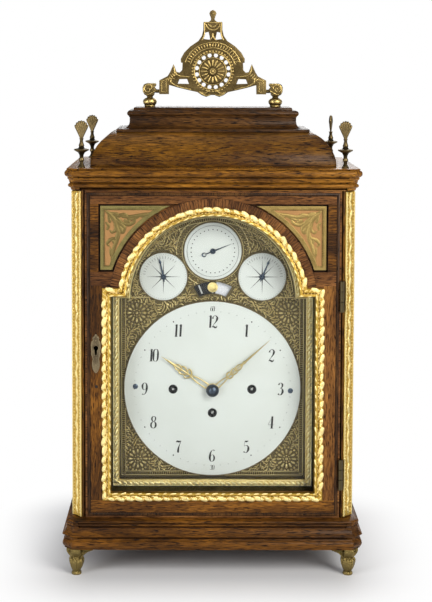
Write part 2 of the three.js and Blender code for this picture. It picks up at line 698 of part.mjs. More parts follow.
const windingPlaces = [
  ['strike', -WINDING_X, dialZ],
  ['going', 0, dialZ - WINDING_DROP],
  ['quarter', WINDING_X, dialZ],
];
const smallDials = [['date', DATE_DIAL], ['strike', STRIKE_DIAL], ['repeat', REPEAT_DIAL]];

function dialPlate() {
  const margin = 6;
  const plate = sheet(sightOutline(margin), dialY, DIAL_PLATE, ARC_STEPS);
  const holes = [
    sheet(apertureOutline(), dialY - 1, DIAL_PLATE + 2, 8),
    rodY(PIPE_HOLE, dialY - 1, dialBack + 1, 0, dialZ, 16),
    ...windingPlaces.map(([, x, z]) => rodY(WINDING_HOLE, dialY - 1, dialBack + 1, x, z, 16)),
    ...smallDials.map(([, d]) => rodY(SMALL_ARBOR + GAP, dialY - 1, dialBack + 1, d.x, dialZ + d.rise, 10)),
  ];
  const feet = [-1, 1].flatMap((sx) => [-1, 1].map((sz) =>
    rodY(2.5, dialBack - 1, plateY - TOUCH, sx * (PLATE_HALF - 8), dialZ + sz * 72, 10)));
  return join(cut(plate, ...holes), ...feet);
}

// Domed enamel dial, standing off the plate by the running gap.
function mainDial() {
  const rings = 3;
  const rim = dialY - GAP - MAIN_EDGE;
  const profile = [[0, dialY - GAP], [MAIN_RADIUS, dialY - GAP], [MAIN_RADIUS, rim]];
  for (let i = rings - 1; i >= 0; i--) {
    const share = i / rings;
    profile.push([MAIN_RADIUS * share, rim - MAIN_DOME * (1 - share ** 2)]);
  }
  const holes = [[0, dialZ, PIPE_HOLE], ...windingPlaces.map(([, x, z]) => [x, z, WINDING_HOLE])];
  return cut(
    turnedAlongY(profile, 56, 0, dialZ),
    ...holes.map(([x, z, radius]) => rodY(radius, dialY - 10, dialY + 1, x, z, 16)),
  );
}

function smallDial({ x, rise, radius }) {
  const backFace = dialY - TOUCH;
  const profile = [
    [0, backFace], [radius, backFace], [radius, backFace - SMALL_DIAL + 0.6], [radius - 1, backFace - SMALL_DIAL],
    [radius * 0.5, backFace - SMALL_DIAL - 0.5], [0, backFace - SMALL_DIAL - 0.7],
  ];
  const z = dialZ + rise;
  return cut(turnedAlongY(profile, 30, x, z), rodY(SMALL_ARBOR + GAP, dialY - 6, dialY + 1, x, z, 10));
}

// ---------------------------------------------------------------- hands

// Turns a solid clockwise, seen from the front, about a front-to-back axis through (x, z).
function clockwise(made, degrees, x, z) {
  return made.translate([-x, 0, -z]).rotate([0, degrees, 0]).translate([x, 0, z]);
}

// A pierced hand: two bars from the boss, an open scroll and a spear tip.
function piercedHand({ length, boss, angle }, y, bore) {
  const waist = length * 0.44;
  const scroll = length * 0.62;
  const half = [
    [boss * 0.75, boss * 0.6], [length * 0.065, boss * 1.2], [length * 0.06, waist - 2],
    [length * 0.13, waist + 2.5], [length * 0.125, scroll - 1.5], [length * 0.045, scroll + 1.5],
    [length * 0.06, length * 0.78], [length * 0.03, length * 0.88],
  ];
  const spear = outlineOf([
    ...half.map(([x, z]) => [x, dialZ + z]),
    [0, dialZ + length],
    ...half.reverse().map(([x, z]) => [-x, dialZ + z]),
  ]);
  const barGap = length * 0.026;
  spear.holes.push(outlineOf([
    [-barGap, dialZ + boss * 1.25], [barGap, dialZ + boss * 1.25],
    [barGap, dialZ + waist - 3], [-barGap, dialZ + waist - 3],
  ]));
  const eye = length * 0.07;
  spear.holes.push(outlineOf([
    [0, dialZ + waist + 1], [eye, dialZ + (waist + scroll) / 2], [0, dialZ + scroll - 0.5],
    [-eye, dialZ + (waist + scroll) / 2],
  ]));
  const hand = cut(
    join(sheet(spear, y, HAND_THICKNESS), rodY(boss, y, y + HAND_THICKNESS, 0, dialZ, 24)),
    rodY(bore, y - 1, y + HAND_THICKNESS + 1, 0, dialZ, 16),
  );
  return clockwise(hand, angle, 0, dialZ);
}

// Domed nut that holds the minute hand on the arbor.
const handNut = () => turnedAlongY(
  [[0, minuteY - 6], [3.2, minuteY - 5.6], [5.6, minuteY - 4.2], [6.8, minuteY - 2.2], [6.8, minuteY - 1.2],
    [5.8, minuteY - TOUCH], [0, minuteY - TOUCH]], 24, 0, dialZ);

// A slender hand on its own arbor, with a ring or a stub behind it.
function smallHand({ x, rise }, { length, tail, angle }) {
  const z = dialZ + rise;
  const y = dialY - SMALL_DIAL - 2.2;
  const outline = outlineOf([
    [x - 1.1, z], [x - 0.45, z + length - 1], [x, z + length], [x + 0.45, z + length - 1],
    [x + 1.1, z], [x + 0.6, z - tail], [x - 0.6, z - tail],
  ]);
  const hand = join(
    sheet(outline, y, 0.8),
    rodY(2.7, y, y + 0.8, x, z, 16),
    rodY(SMALL_ARBOR, y, dialBack + 1.6, x, z, 10),
    rodY(2.6, dialBack + 0.6, dialBack + 1.6, x, z, 12),
  );
  return clockwise(hand, angle, x, z);
}

// ---------------------------------------------------------------- movement

const pillarPlaces = [[-62, -76], [62, -76], [-62, 74], [62, 74]];
const hammer = { x: 46, rise: 54 };
const gongZ = dialZ + PLATE_TOP + 14; // lip of the hour bell
const gongY = (dialBack + rearPlateY) / 2; // clear of the dial plate and of the standard
const minuteStud = CANNON.radius + MINUTE_WHEEL.radius;

function frontPlate() {
  const plate = block(-PLATE_HALF, PLATE_HALF, plateY, plateY + PLATE, seatZ + TOUCH, dialZ + PLATE_TOP);
  const through = (radius, x, z) => rodY(radius, plateY - 1, plateY + PLATE + 1, x, z, 12);
  return join(
    cut(
      plate,
      through(2.4, 0, dialZ), through(2.2, 0, apertureZ), through(2.2, hammer.x, dialZ + hammer.rise),
      ...windingPlaces.map(([, x, z]) => through(3.5, x, z)),
    ),
    rodY(1.2, dialBack + 0.8, plateY + 1, 0, dialZ + minuteStud, 12),
  );
}

// The back plate carries the four pillars and the standard of the hour bell.
function backPlate() {
  const y = rearPlateY;
  const plate = block(-PLATE_HALF, PLATE_HALF, y, y + PLATE, seatZ + TOUCH, dialZ + PLATE_TOP);
  const through = (radius, x, z) => rodY(radius, y - 1, y + PLATE + 1, x, z, 12);
  const pillars = pillarPlaces.map(([x, rise]) => {
    const middle = plateY + PLATE + PILLAR_LENGTH / 2;
    return turnedAlongY([
      [0, plateY + PLATE + TOUCH], [PILLAR_RADIUS, plateY + PLATE + TOUCH], [PILLAR_RADIUS, plateY + PLATE + 4],
      [2.6, plateY + PLATE + 8], [2.6, middle - 6], [PILLAR_RADIUS, middle], [2.6, middle + 6], [2.6, y - 8],
      [PILLAR_RADIUS, y - 4], [PILLAR_RADIUS, y + 1], [0, y + 1],
    ], 8, x, dialZ + rise);
  });
  const crown = gongZ + GONG_HEIGHT;
  return join(
    cut(plate, through(1.6, 0, dialZ), through(2.2, 0, apertureZ), through(2.2, hammer.x, dialZ + hammer.rise),
      ...windingPlaces.map(([, x, z]) => through(2.5, x, z))),
    ...pillars,
    block(-6, 6, y, y + PLATE, dialZ + PLATE_TOP - 1, crown + 12),
    block(-4, 4, gongY - 4, y + PLATE, crown + 9, crown + 12),
    turned([[0, crown - 8], [4.5, crown - 8], [4.5, crown - GONG_WALL - 1], [2, crown - GONG_WALL - 1],
      [2, crown + 10], [0, crown + 10]], 12, [0, gongY, 0]),
  );
}

const wheelY = plateY + PLATE + 35; // great wheels, with the centre pinion beside them

// A fusee on its arbor: great wheel, stepped cone, rear pivot and winding square.
function fusee(x, z) {
  const y0 = plateY + PLATE + 4;
  const y1 = rearPlateY - 4;
  const cone = [[0, y0], [9, y0]];
  for (let i = 0; i < FUSEE_TURNS; i++) {
    const radius = 9 + (i + 1) * 2;
    const y = y0 + 2 + i * 7;
    cone.push([radius - 2, y], [radius, y + 2]);
  }
  cone.push([FUSEE_WHEEL, wheelY], [FUSEE_WHEEL, wheelY + 2.5], [5, wheelY + 2.5], [5, y1], [0, y1]);
  const square = mainFace - 3;
  return join(
    turnedAlongY(cone, 20, x, z),
    rodY(2.2, y1 - 1, rearPlateY + PLATE + 1, x, z, 10),
    rodY(3.1, dialY - 1, y0 + 1, x, z, 10),
    block(x - 2.3, x + 2.3, square, dialY, z - 2.3, z + 2.3),
  );
}

const cannonY = [plateY - 6, plateY - 2]; // cannon pinion, with the minute wheel beside it
const hourWheelY = [dialBack + 1, dialBack + 3.4];

// Centre arbor with its cannon pinion and the pipe that carries the minute hand.
function centreArbor() {
  return join(
    rodY(1.3, cannonY[0], rearPlateY + PLATE - 0.5, 0, dialZ, 12),
    sheet(gear(CANNON, 90, 0, 0, dialZ), cannonY[0], cannonY[1] - cannonY[0]),
    rodY(2.6, minuteY + HAND_THICKNESS + 0.3, cannonY[0] + 0.5, 0, dialZ, 16),
    rodY(2, minuteY - 0.02, cannonY[0], 0, dialZ, 12),
    rodY(WINDING_DROP - FUSEE_WHEEL - GAP, wheelY - 3, wheelY + 5, 0, dialZ, 12),
  );
}

// Minute wheel and its pinion, turning on a stud of the front plate.
function minuteWheel() {
  const z = dialZ + minuteStud;
  const gap = 360 / MINUTE_WHEEL.teeth / 2;
  const pinionGap = 360 / MINUTE_PINION.teeth / 2;
  return join(
    sheet(gear(MINUTE_WHEEL, -90 + gap, 1.5, 0, z), cannonY[0] + 0.6, 2.4),
    sheet(gear(MINUTE_PINION, -90 + pinionGap, 1.5, 0, z), hourWheelY[0] + 0.3, cannonY[0] + 1.1 - hourWheelY[0]),
  );
}

// Hour wheel and the pipe that carries the hour hand.
function hourWheel() {
  return cut(
    join(
      sheet(gear(HOUR_WHEEL, 90, 0, 0, dialZ), hourWheelY[0], hourWheelY[1] - hourWheelY[0]),
      rodY(4.3, hourY + HAND_THICKNESS + 0.3, hourWheelY[1], 0, dialZ, 20),
      rodY(3.7, hourY, hourWheelY[1], 0, dialZ, 20),
    ),
    rodY(2.6 + GAP, hourY - 1, hourWheelY[1] + 1, 0, dialZ, 16),
  );
}

// Verge arbor: the mock pendulum in front, the pallets between the plates.
function vergeArbor() {
  const mockY = dialBack + 1.2;
  const middle = (APERTURE.inner + APERTURE.outer) / 2;
  const pallet = (y, lean) => clockwise(
    block(-1, 1, y, y + 5, apertureZ, apertureZ + 7), lean, 0, apertureZ);
  return join(
    rodY(1.9, mockY, pendulumY + 2.5, 0, apertureZ, 12),
    rodY(5.4, mockY, mockY + 1, 0, apertureZ + middle, 20),
    block(-0.9, 0.9, mockY, mockY + 1, apertureZ, apertureZ + middle),
    pallet(plateY + PLATE + 8, 45), pallet(plateY + PLATE + 30, -45),
  );
}

const pendulumY = rearPlateY + PLATE + 6;

// Rod and lens-shaped bob, clamped on the end of the verge arbor.
function pendulum() {
  const bobZ = apertureZ - PENDULUM_LENGTH;
  const bob = turnedAlongY(
    [[0, pendulumY - 3.5], [BOB_RADIUS * 0.6, pendulumY - 2.8], [BOB_RADIUS, pendulumY + 1],
      [BOB_RADIUS * 0.6, pendulumY + 4.8], [0, pendulumY + 5.5]], 28, 0, bobZ);
  return cut(
    join(
      bob,
      block(-1.2, 1.2, pendulumY, pendulumY + 2, bobZ - BOB_RADIUS - 4, apertureZ - 3),
      rodY(4.6, pendulumY - 1, pendulumY + 3, 0, apertureZ, 16),
    ),
    rodY(1.9 + GAP, pendulumY - 3, pendulumY + 5, 0, apertureZ, 12),
  );
}

// Hour bell: a thin cup, mouth down, on its standard.
function hourBell() {
  const [z, h, r, w] = [gongZ, GONG_HEIGHT, GONG_RADIUS, GONG_WALL];
  const outer = [[r, z], [r * 0.93, z + h * 0.3], [r * 0.84, z + h * 0.65], [r * 0.66, z + h * 0.9], [r * 0.4, z + h]];
  const inner = outer.map(([radius, height], i) => [radius - w, i === 0 ? z : height - w * 0.6]);
  const bore = 2 + GAP;
  const crown = z + h;
  return turned(
    [[bore, crown], ...outer.slice().reverse(), ...inner, [bore, crown - w], [bore, crown]], 24, [0, gongY, 0]);
}

// Hammer on its arbor between the plates; the head waits just off the bell.
function bellHammer() {
  const z = dialZ + hammer.rise;
  const headZ = gongZ + 5;
  const arm = outlineOf([
    [hammer.x - 1.6, z], [hammer.x + 1.6, z], [GONG_RADIUS + 10, headZ], [GONG_RADIUS + 6, headZ],
  ]);
  return join(
    rodY(1.9, plateY + 0.5, rearPlateY + PLATE - 0.5, hammer.x, z, 12),
    sheet(arm, gongY - 1.2, 2.4),
    rodX(4.6, GONG_RADIUS + 1.2, GONG_RADIUS + 13, gongY, headZ, 14),
  );
}

// ---------------------------------------------------------------- handle, posts, finials, feet

// Cast openwork handle, drawn in the front elevation about its own pivot line.
function handle() {
  const right = [
    [0, -4], [2, -4], [6.9, -6], [11.5, -4.2], [16, -1], [25.5, 1.1], [36, 3.6], [46, 6.5], [46.2, -3.2],
    [HANDLE_HALF, -3.2], [HANDLE_HALF, 11.4], [47.6, 15.8], [45.2, 19.5], [41.2, 28.4], [38, 20.2], [34.8, 19.6],
    [32.2, 22.2], [31.8, 29.6], [33.5, 30.2], [33.7, 34], [30, 40.6], [23.7, 47], [15.2, 52.8], [11.6, 58],
    [10, 64.5], [10, 72.2], [4.2, 72.8], [1.6, 75], [2.4, 78], [3.8, 81.6], [2.6, 84], [0, 85.3],
  ];
  const mirror = right.slice(1, -1).reverse().map(([x, z]) => [-x, z]);
  const outline = outlineOf([...right, ...mirror].map(([x, z]) => [x, pivotZ + z]));
  for (let i = 0; i < ROSETTE.count; i++) {
    const angle = (2 * Math.PI * (i + 0.5)) / ROSETTE.count;
    const [x, z] = [ROSETTE.ring * Math.cos(angle), pivotZ + ROSETTE.rise + ROSETTE.ring * Math.sin(angle)];
    outline.holes.push(circle(x, z, ROSETTE.hole));
  }
  for (const side of [-1, 1]) {
    const opening = (points) => outlineOf(points.map(([x, z]) => [side * x, pivotZ + z]));
    outline.holes.push(opening([[25, 7.6], [36.8, 7.9], [35, 12.6], [27, 12.8]]));
    outline.holes.push(opening([[2.6, 54], [10.6, 55], [8.6, 61.4], [4.4, 62.4]]));
  }
  const y = -HANDLE_THICKNESS / 2;
  const rosette = turnedAlongY(
    [[0, y - 2.2], [4, y - 2.2], [5, y - 1.2], [ROSETTE.face, y - 0.8], [ROSETTE.face, -y + 0.8], [5, -y + 1.2],
      [4, -y + 2.2], [0, -y + 2.2]], 24, 0, pivotZ + ROSETTE.rise);
  const sockets = [-1, 1].map((side) => {
    const [x0, x1] = side < 0 ? [-HANDLE_HALF - 1, -HANDLE_HALF + 6] : [HANDLE_HALF - 6, HANDLE_HALF + 1];
    return rodX(PIVOT_RADIUS + GAP, x0, x1, 0, pivotZ, 12);
  });
  return cut(join(sheet(outline, y, HANDLE_THICKNESS, 4), rosette), ...sockets);
}

// Post: a ball on the cap, a neck and a rounded lug with the pivot pin.
function handlePost(side) {
  const z = topZ + TOUCH;
  const stem = turned([
    [0, z], [5.6, z], [7.2, z + 2.4], [7.6, z + 5], [7, z + 7.6], [4.6, z + 9.8], [2.7, z + 10.4], [2.7, z + 12],
    [0, z + 12],
  ], 20, [side * POST_SPREAD, 0, 0]);
  const inner = HANDLE_HALF + 0.5 - POST_SPREAD;
  const lug = [
    [inner, 10.8], [2.4, 10.8], [5.6, 12.4], [8, 15.6], [8.7, 19.4], [7.4, 23], [4, 24.4], [-3, 25], [inner, 24.6],
  ];
  const outline = outlineOf(lug.map(([x, rise]) => [side * (POST_SPREAD + x), z + rise]));
  const [x0, x1] = [HANDLE_HALF - 5, HANDLE_HALF + 4];
  const pin = side < 0 ? rodX(PIVOT_RADIUS, -x1, -x0, 0, pivotZ, 12) : rodX(PIVOT_RADIUS, x0, x1, 0, pivotZ, 12);
  return join(stem, sheet(outline, -4.5, 9), pin);
}

// Turned stem with a saucer, topped by a flat fan. The fan can face the side instead.
function finial(sx, sy, turn) {
  const at = [sx * (bodyHalf - FINIAL_INSET), sy * (CASE_DEPTH / 2 - FINIAL_INSET), bellZ + TOUCH];
  const stem = turned([
    [0, 0], [3.9, 0], [3.9, 1.6], [2.4, 4], [1.8, 8], [2.7, 10.4], [2.2, 14],
    [7.2, 18.2], [8, 20.6], [2.6, 21.8], [3.1, 24], [2.1, 29.4], [0, 29.4],
  ], 14);
  const half = [[1.9, 28], [3, 32], [5.6, 38.6], [6.6, 44], [5.6, 47], [2.6, 48.6]];
  const fan = outlineOf([...half, [0, 48.9], ...half.slice().reverse().map(([x, z]) => [-x, z])]);
  return join(stem, sheet(fan, -2.2, 4.4).rotate([0, 0, turn])).translate(at);
}

// Cast foot: a corner plate curving down into a leg with a swollen knee and a toe.
function foot(sx, sy) {
  const at = [sx * (bodyHalf - FOOT_INSET), sy * (CASE_DEPTH / 2 - FOOT_INSET), 0];
  const leg = turned([
    [0, 0], [4.8, 0], [5.2, 1.6], [4.7, 4], [6.4, 8.4], [7.2, 12.4], [6.8, 15], [5.3, 18.6], [6, 21.4], [8, 24], [0, 26],
  ], 12);
  const top = FOOT_HEIGHT - TOUCH;
  const reach = 17.5; // of each wing along the case, towards its middle
  const wing = [
    [10, top], [-reach, top], [-reach, top - 1.6], [-12, top - 3], [-8, top - 6.4], [-5, top - 11], [4, top - 11],
    [9, top - 6], [10, top - 4],
  ];
  const along = sheet(outlineOf(wing), -5, 10).scale([sx, 1, 1]);
  const across = sheet(outlineOf(wing), -5, 10).rotate([0, 0, 90]).scale([1, sy, 1]);
  return join(leg, along, across, block(-9, 9, -9, 9, top - 4, top)).translate(at);
}

// ---------------------------------------------------------------- build

add('base_plinth', basePlinth(), 'wood');
add('cornice', cornice(), 'wood');
add('bell_top', bellTop(), 'wood');
add('bell_top_cap', bellTopCap(), 'wood');
add('seat_board', seatBoard(), 'wood');
for (const [name, side] of [['left', -1], ['right', 1]]) {
  add(`${name}_side_panel`, sidePanel(side), 'wood');
  add(`${name}_side_window`, sideWindow(side), 'glass');
  add(`${name}_pilaster`, pilaster(side), 'gilt');
  add(`${name}_spandrel`, spandrel(side), 'brass');
  add(`${name}_handle_post`, handlePost(side), 'brass');
}
add('handle', handle(), 'brass');

add('front_door_frame', doorFrame(), 'wood');
add('door_gilt_moulding', doorMoulding(), 'gilt');
add('front_door_glass', doorGlass(), 'glass');
add('keyhole_escutcheon', escutcheon(), 'brass');
add('lock_bolt', lockBolt(), 'steel');
for (const [name, z] of [['upper', dialZ + UPPER_HINGE], ['lower', dialZ - LOWER_HINGE]]) {
  add(`${name}_case_hinge`, caseHinge(z), 'brass');
  add(`${name}_door_hinge`, doorHinge(z), 'brass');
}

add('rear_door_frame', rearDoor(), 'wood');
add('rear_door_glass', rearGlass(), 'glass');
add('rear_door_catch', rearCatch(), 'brass');

add('dial_mask', dialMask(), 'gilt');
add('dial_plate', dialPlate(), 'dialBrass');
add('main_dial', mainDial(), 'enamel');
for (const [name, place] of smallDials) add(`${name}_dial`, smallDial(place), 'enamel');
add('hour_hand', piercedHand(HOUR_HAND, hourY, 3.7 + GAP), 'gilt');
add('minute_hand', piercedHand(MINUTE_HAND, minuteY, 2 + GAP), 'gilt');
add('hand_nut', handNut(), 'blued');
add('date_hand', smallHand(DATE_DIAL, DATE_HAND), 'blued');
add('strike_hand', smallHand(STRIKE_DIAL, STRIKE_HAND), 'blued');
add('repeat_hand', smallHand(REPEAT_DIAL, REPEAT_HAND), 'blued');

add('movement_front_plate', frontPlate(), 'brass');
add('movement_back_plate', backPlate(), 'brass');
for (const [name, x, z] of windingPlaces) add(`${name}_fusee`, fusee(x, z), 'steel');
add('centre_arbor', centreArbor(), 'steel');
add('minute_wheel', minuteWheel(), 'brass');
add('hour_wheel', hourWheel(), 'brass');
add('verge_arbor', vergeArbor(), 'steel');
add('pendulum', pendulum(), 'brass');
add('hour_bell', hourBell(), 'steel');
add('bell_hammer', bellHammer(), 'steel');

for (const [depth, sy] of [['front', -1], ['rear', 1]]) {
  for (const [name, sx] of [['left', -1], ['right', 1]]) {
    const turn = sx > 0 && sy > 0 ? 90 : 0; // the rear right fan faces the side
    add(`${depth}_${name}_finial`, finial(sx, sy, turn), 'brass');
    add(`${depth}_${name}_foot`, foot(sx, sy), 'brass');
  }
}

export default clock;
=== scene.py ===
"""Bell-top bracket clock: finishes and fine shapes on the clock's own frame."""
import json
import random
from math import asin, atan2, cos, degrees, dist, hypot, pi, radians, remainder, sin, sqrt

import bpy
from mathutils import Euler, Matrix, Vector

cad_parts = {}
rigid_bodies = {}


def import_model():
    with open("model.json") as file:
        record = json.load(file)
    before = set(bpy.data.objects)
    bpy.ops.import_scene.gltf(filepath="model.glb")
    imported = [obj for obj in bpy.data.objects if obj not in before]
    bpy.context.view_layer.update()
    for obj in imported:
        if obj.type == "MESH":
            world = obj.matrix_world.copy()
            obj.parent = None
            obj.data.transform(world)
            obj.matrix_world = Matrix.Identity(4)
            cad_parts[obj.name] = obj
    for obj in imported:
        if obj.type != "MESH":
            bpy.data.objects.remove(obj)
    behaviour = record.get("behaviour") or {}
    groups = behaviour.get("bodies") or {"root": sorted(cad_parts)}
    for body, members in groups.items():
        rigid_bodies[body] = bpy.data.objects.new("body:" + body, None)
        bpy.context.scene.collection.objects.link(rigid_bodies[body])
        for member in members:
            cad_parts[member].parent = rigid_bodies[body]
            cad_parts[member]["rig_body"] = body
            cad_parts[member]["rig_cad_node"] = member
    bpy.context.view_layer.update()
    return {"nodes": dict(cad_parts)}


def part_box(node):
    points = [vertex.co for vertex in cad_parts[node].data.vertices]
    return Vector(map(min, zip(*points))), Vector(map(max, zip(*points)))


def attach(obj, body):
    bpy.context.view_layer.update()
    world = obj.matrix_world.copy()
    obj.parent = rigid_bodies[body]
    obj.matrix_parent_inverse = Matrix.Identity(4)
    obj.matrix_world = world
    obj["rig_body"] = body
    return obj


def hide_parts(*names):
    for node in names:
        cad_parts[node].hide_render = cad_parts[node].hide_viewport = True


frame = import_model()
nodes = frame["nodes"]

MM = 0.001


def lows(node):
    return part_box(node)[0]


def highs(node):
    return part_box(node)[1]


# ------------------------------------------------------------------ places, read from the frame

DIAL_X = (lows("main_dial").x + highs("main_dial").x) / 2
DIAL_Z = (lows("main_dial").z + highs("main_dial").z) / 2
DIAL_FACE = lows("dial_plate").y
DOOR_LOW = lows("front_door_frame")
DOOR_HIGH = highs("front_door_frame")
DOOR_FACE = DOOR_LOW.y
BODY_HALF = highs("right_side_panel").x
BODY_BACK = highs("right_side_panel").y
ARCH_Z = DIAL_Z + 94.6 * MM  # centre of every arch of the front
VERGE_Z = DIAL_Z + 72.4 * MM  # axis of the pendulum
PIVOT_Z = lows("handle").z + 6 * MM


# ------------------------------------------------------------------ camera, light and floor

PICTURE_WIDTH = 432
PICTURE_HEIGHT = 602
FOCAL_PIXELS = 1378
PRINCIPAL_POINT = (196.9, 159.5)
CAMERA_PLACE = (-0.021, -1.456, 0.521)
CAMERA_YAW = -0.18
CAMERA_PITCH = 4.02
CAMERA_ROLL = -0.15


def make_camera():
    camera = bpy.data.objects.new("camera", bpy.data.cameras.new("camera"))
    bpy.context.scene.collection.objects.link(camera)
    lens = camera.data
    lens.sensor_fit = "HORIZONTAL"
    lens.lens = lens.sensor_width * FOCAL_PIXELS / PICTURE_WIDTH
    lens.shift_x = (PICTURE_WIDTH / 2 - PRINCIPAL_POINT[0]) / PICTURE_WIDTH
    lens.shift_y = (PRINCIPAL_POINT[1] - PICTURE_HEIGHT / 2) / PICTURE_WIDTH
    lens.clip_start = 0.05
    lens.clip_end = 50
    tilt = Euler((radians(90 - CAMERA_PITCH), 0, radians(CAMERA_YAW))).to_matrix()
    roll = Matrix.Rotation(radians(-CAMERA_ROLL), 3, "Z")
    camera.matrix_world = Matrix.Translation(CAMERA_PLACE) @ (tilt @ roll).to_4x4()
    bpy.context.scene.camera = camera


def linear(hex_colour):
    """An sRGB hex colour as linear red, green, blue and alpha."""
    shares = [int(hex_colour[i:i + 2], 16) / 255 for i in (1, 3, 5)]
    return tuple(s / 12.92 if s <= 0.04045 else ((s + 0.055) / 1.055) ** 2.4 for s in shares) + (1,)


def node(tree, kind, settings=(), links=(), stops=None, **sockets):
    """Adds a shader node: its settings, its socket values by name or number, the nodes or sockets
    that feed it, and the (position, hex) stops of a colour ramp."""
    made = tree.nodes.new(kind)
    for key, value in dict(settings).items():
        setattr(made, key, value)
    for key, value in sockets.items():
        made.inputs[int(key[1:]) if key[0] == "_" else key.replace("_", " ")].default_value = value
    for key, source in dict(links).items():
        tree.links.new(getattr(source, "outputs", [source])[0], made.inputs[key])
    if stops:
        elements = made.color_ramp.elements
        while len(elements) < len(stops):
            elements.new(0.5)
        for element, (position, colour) in zip(elements, stops):
            element.position, element.color = position, linear(colour)
    return made


def blank_material(name):
    material = bpy.data.materials.new(name)
    material.use_nodes = True
    material.node_tree.nodes.clear()
    return material, material.node_tree


def lamp(name, place, aim, size, watts, colour="#ffffff"):
    light = bpy.data.lights.new(name, "AREA")
    light.shape = "RECTANGLE"
    light.size, light.size_y = size
    light.energy = watts
    light.color = linear(colour)[:3]
    holder = bpy.data.objects.new(name, light)
    bpy.context.scene.collection.objects.link(holder)
    direction = Vector(aim) - Vector(place)
    holder.rotation_euler = direction.to_track_quat("-Z", "Y").to_euler()
    holder.location = place
    return holder


def make_lights():
    lamp("key_softbox", (1.15, -1.5, 1.2), (0, 0, 0.3), (1.1, 1.1), 46, "#fffdf8")
    lamp("fill_softbox", (-1.5, -1.3, 0.6), (0, 0, 0.3), (1.0, 1.4), 26, "#fbfcff")
    lamp("top_softbox", (0, 0.2, 1.7), (0, 0, 0.3), (1.2, 0.9), 3)
    lamp("back_softbox", (0.3, 1.7, 1.1), (0, 0, 0.3), (1.3, 1.2), 16)
    world = bpy.data.worlds.new("studio")
    world.use_nodes = True
    bpy.context.scene.world = world
    tree = world.node_tree
    tree.nodes.clear()
    path = node(tree, "ShaderNodeLightPath")
    seen = node(tree, "ShaderNodeMath", {"operation": "MAXIMUM"},
        {0: path.outputs["Is Camera Ray"], 1: path.outputs["Is Transmission Ray"]})
    plain = node(tree, "ShaderNodeBackground", Color=linear("#f4f5f6"), Strength=0.26)
    white = node(tree, "ShaderNodeBackground", Color=(1, 1, 1, 1), Strength=1.0)
    mixed = node(tree, "ShaderNodeMixShader", links={0: seen, 1: plain, 2: white})
    node(tree, "ShaderNodeOutputWorld", links={0: mixed})


FEET_HALF = (0.118, 0.085)  # half the width and depth that the feet stand on
PAINTED_SHADOW_REACH = 0.13


def make_floor():
    """A sheet of white paper: pure white away from the clock, with a painted shadow, a soft grey patch,
    where the clock stands.
    """
    bpy.ops.mesh.primitive_plane_add(size=9, location=(0, 0, 0))
    floor = bpy.context.object
    floor.name = "floor"
    material, tree = blank_material("white_paper_floor")
    place = node(tree, "ShaderNodeTexCoord").outputs["Object"]
    apart = node(tree, "ShaderNodeSeparateXYZ", links={0: place})
    beyond = []
    for axis, half in enumerate(FEET_HALF):
        size = node(tree, "ShaderNodeMath", {"operation": "ABSOLUTE"}, {0: apart.outputs[axis]})
        past = node(tree, "ShaderNodeMath", {"operation": "SUBTRACT"}, {0: size}, _1=half)
        beyond.append(node(tree, "ShaderNodeMath", {"operation": "MAXIMUM"}, {0: past}, _1=0.0))
    off = node(tree, "ShaderNodeCombineXYZ", links={0: beyond[0], 1: beyond[1]})
    length = node(tree, "ShaderNodeVectorMath", {"operation": "LENGTH"}, {0: off})
    away = node(tree, "ShaderNodeMapRange", {"interpolation_type": "SMOOTHSTEP"},
        {0: length.outputs["Value"]}, _1=0.0, _2=PAINTED_SHADOW_REACH)
    # Painted shadow: the paper is a darker grey near the feet and fades to white away from them.
    shade = node(tree, "ShaderNodeValToRGB", links={0: away},
        stops=[(0.0, "#d2d2d4"), (0.6, "#e2e2e4"), (1.0, "#ececee")])
    paper = node(tree, "ShaderNodeBsdfDiffuse", links={0: shade})
    glow = node(tree, "ShaderNodeEmission", Color=(1, 1, 1, 1), Strength=1.0)
    path = node(tree, "ShaderNodeLightPath")
    seen = node(tree, "ShaderNodeMath", {"operation": "MAXIMUM"},
        {0: path.outputs["Is Camera Ray"], 1: path.outputs["Is Transmission Ray"]})
    seen = node(tree, "ShaderNodeMath", {"operation": "MAXIMUM"},
        {0: seen, 1: path.outputs["Is Glossy Ray"]})
    share = node(tree, "ShaderNodeMath", {"operation": "MULTIPLY"}, {0: seen, 1: away})
    both = node(tree, "ShaderNodeMixShader", links={0: share, 1: paper, 2: glow})
    node(tree, "ShaderNodeOutputMaterial", links={0: both})
    floor.data.materials.append(material)


# ------------------------------------------------------------------ materials

def surface(name, **sockets):
    """A material with one shader on it, ready for its own nodes."""
    material, tree = blank_material(name)
    shader = node(tree, "ShaderNodeBsdfPrincipled", **sockets)
    node(tree, "ShaderNodeOutputMaterial", links={0: shader})
    return material, tree, shader


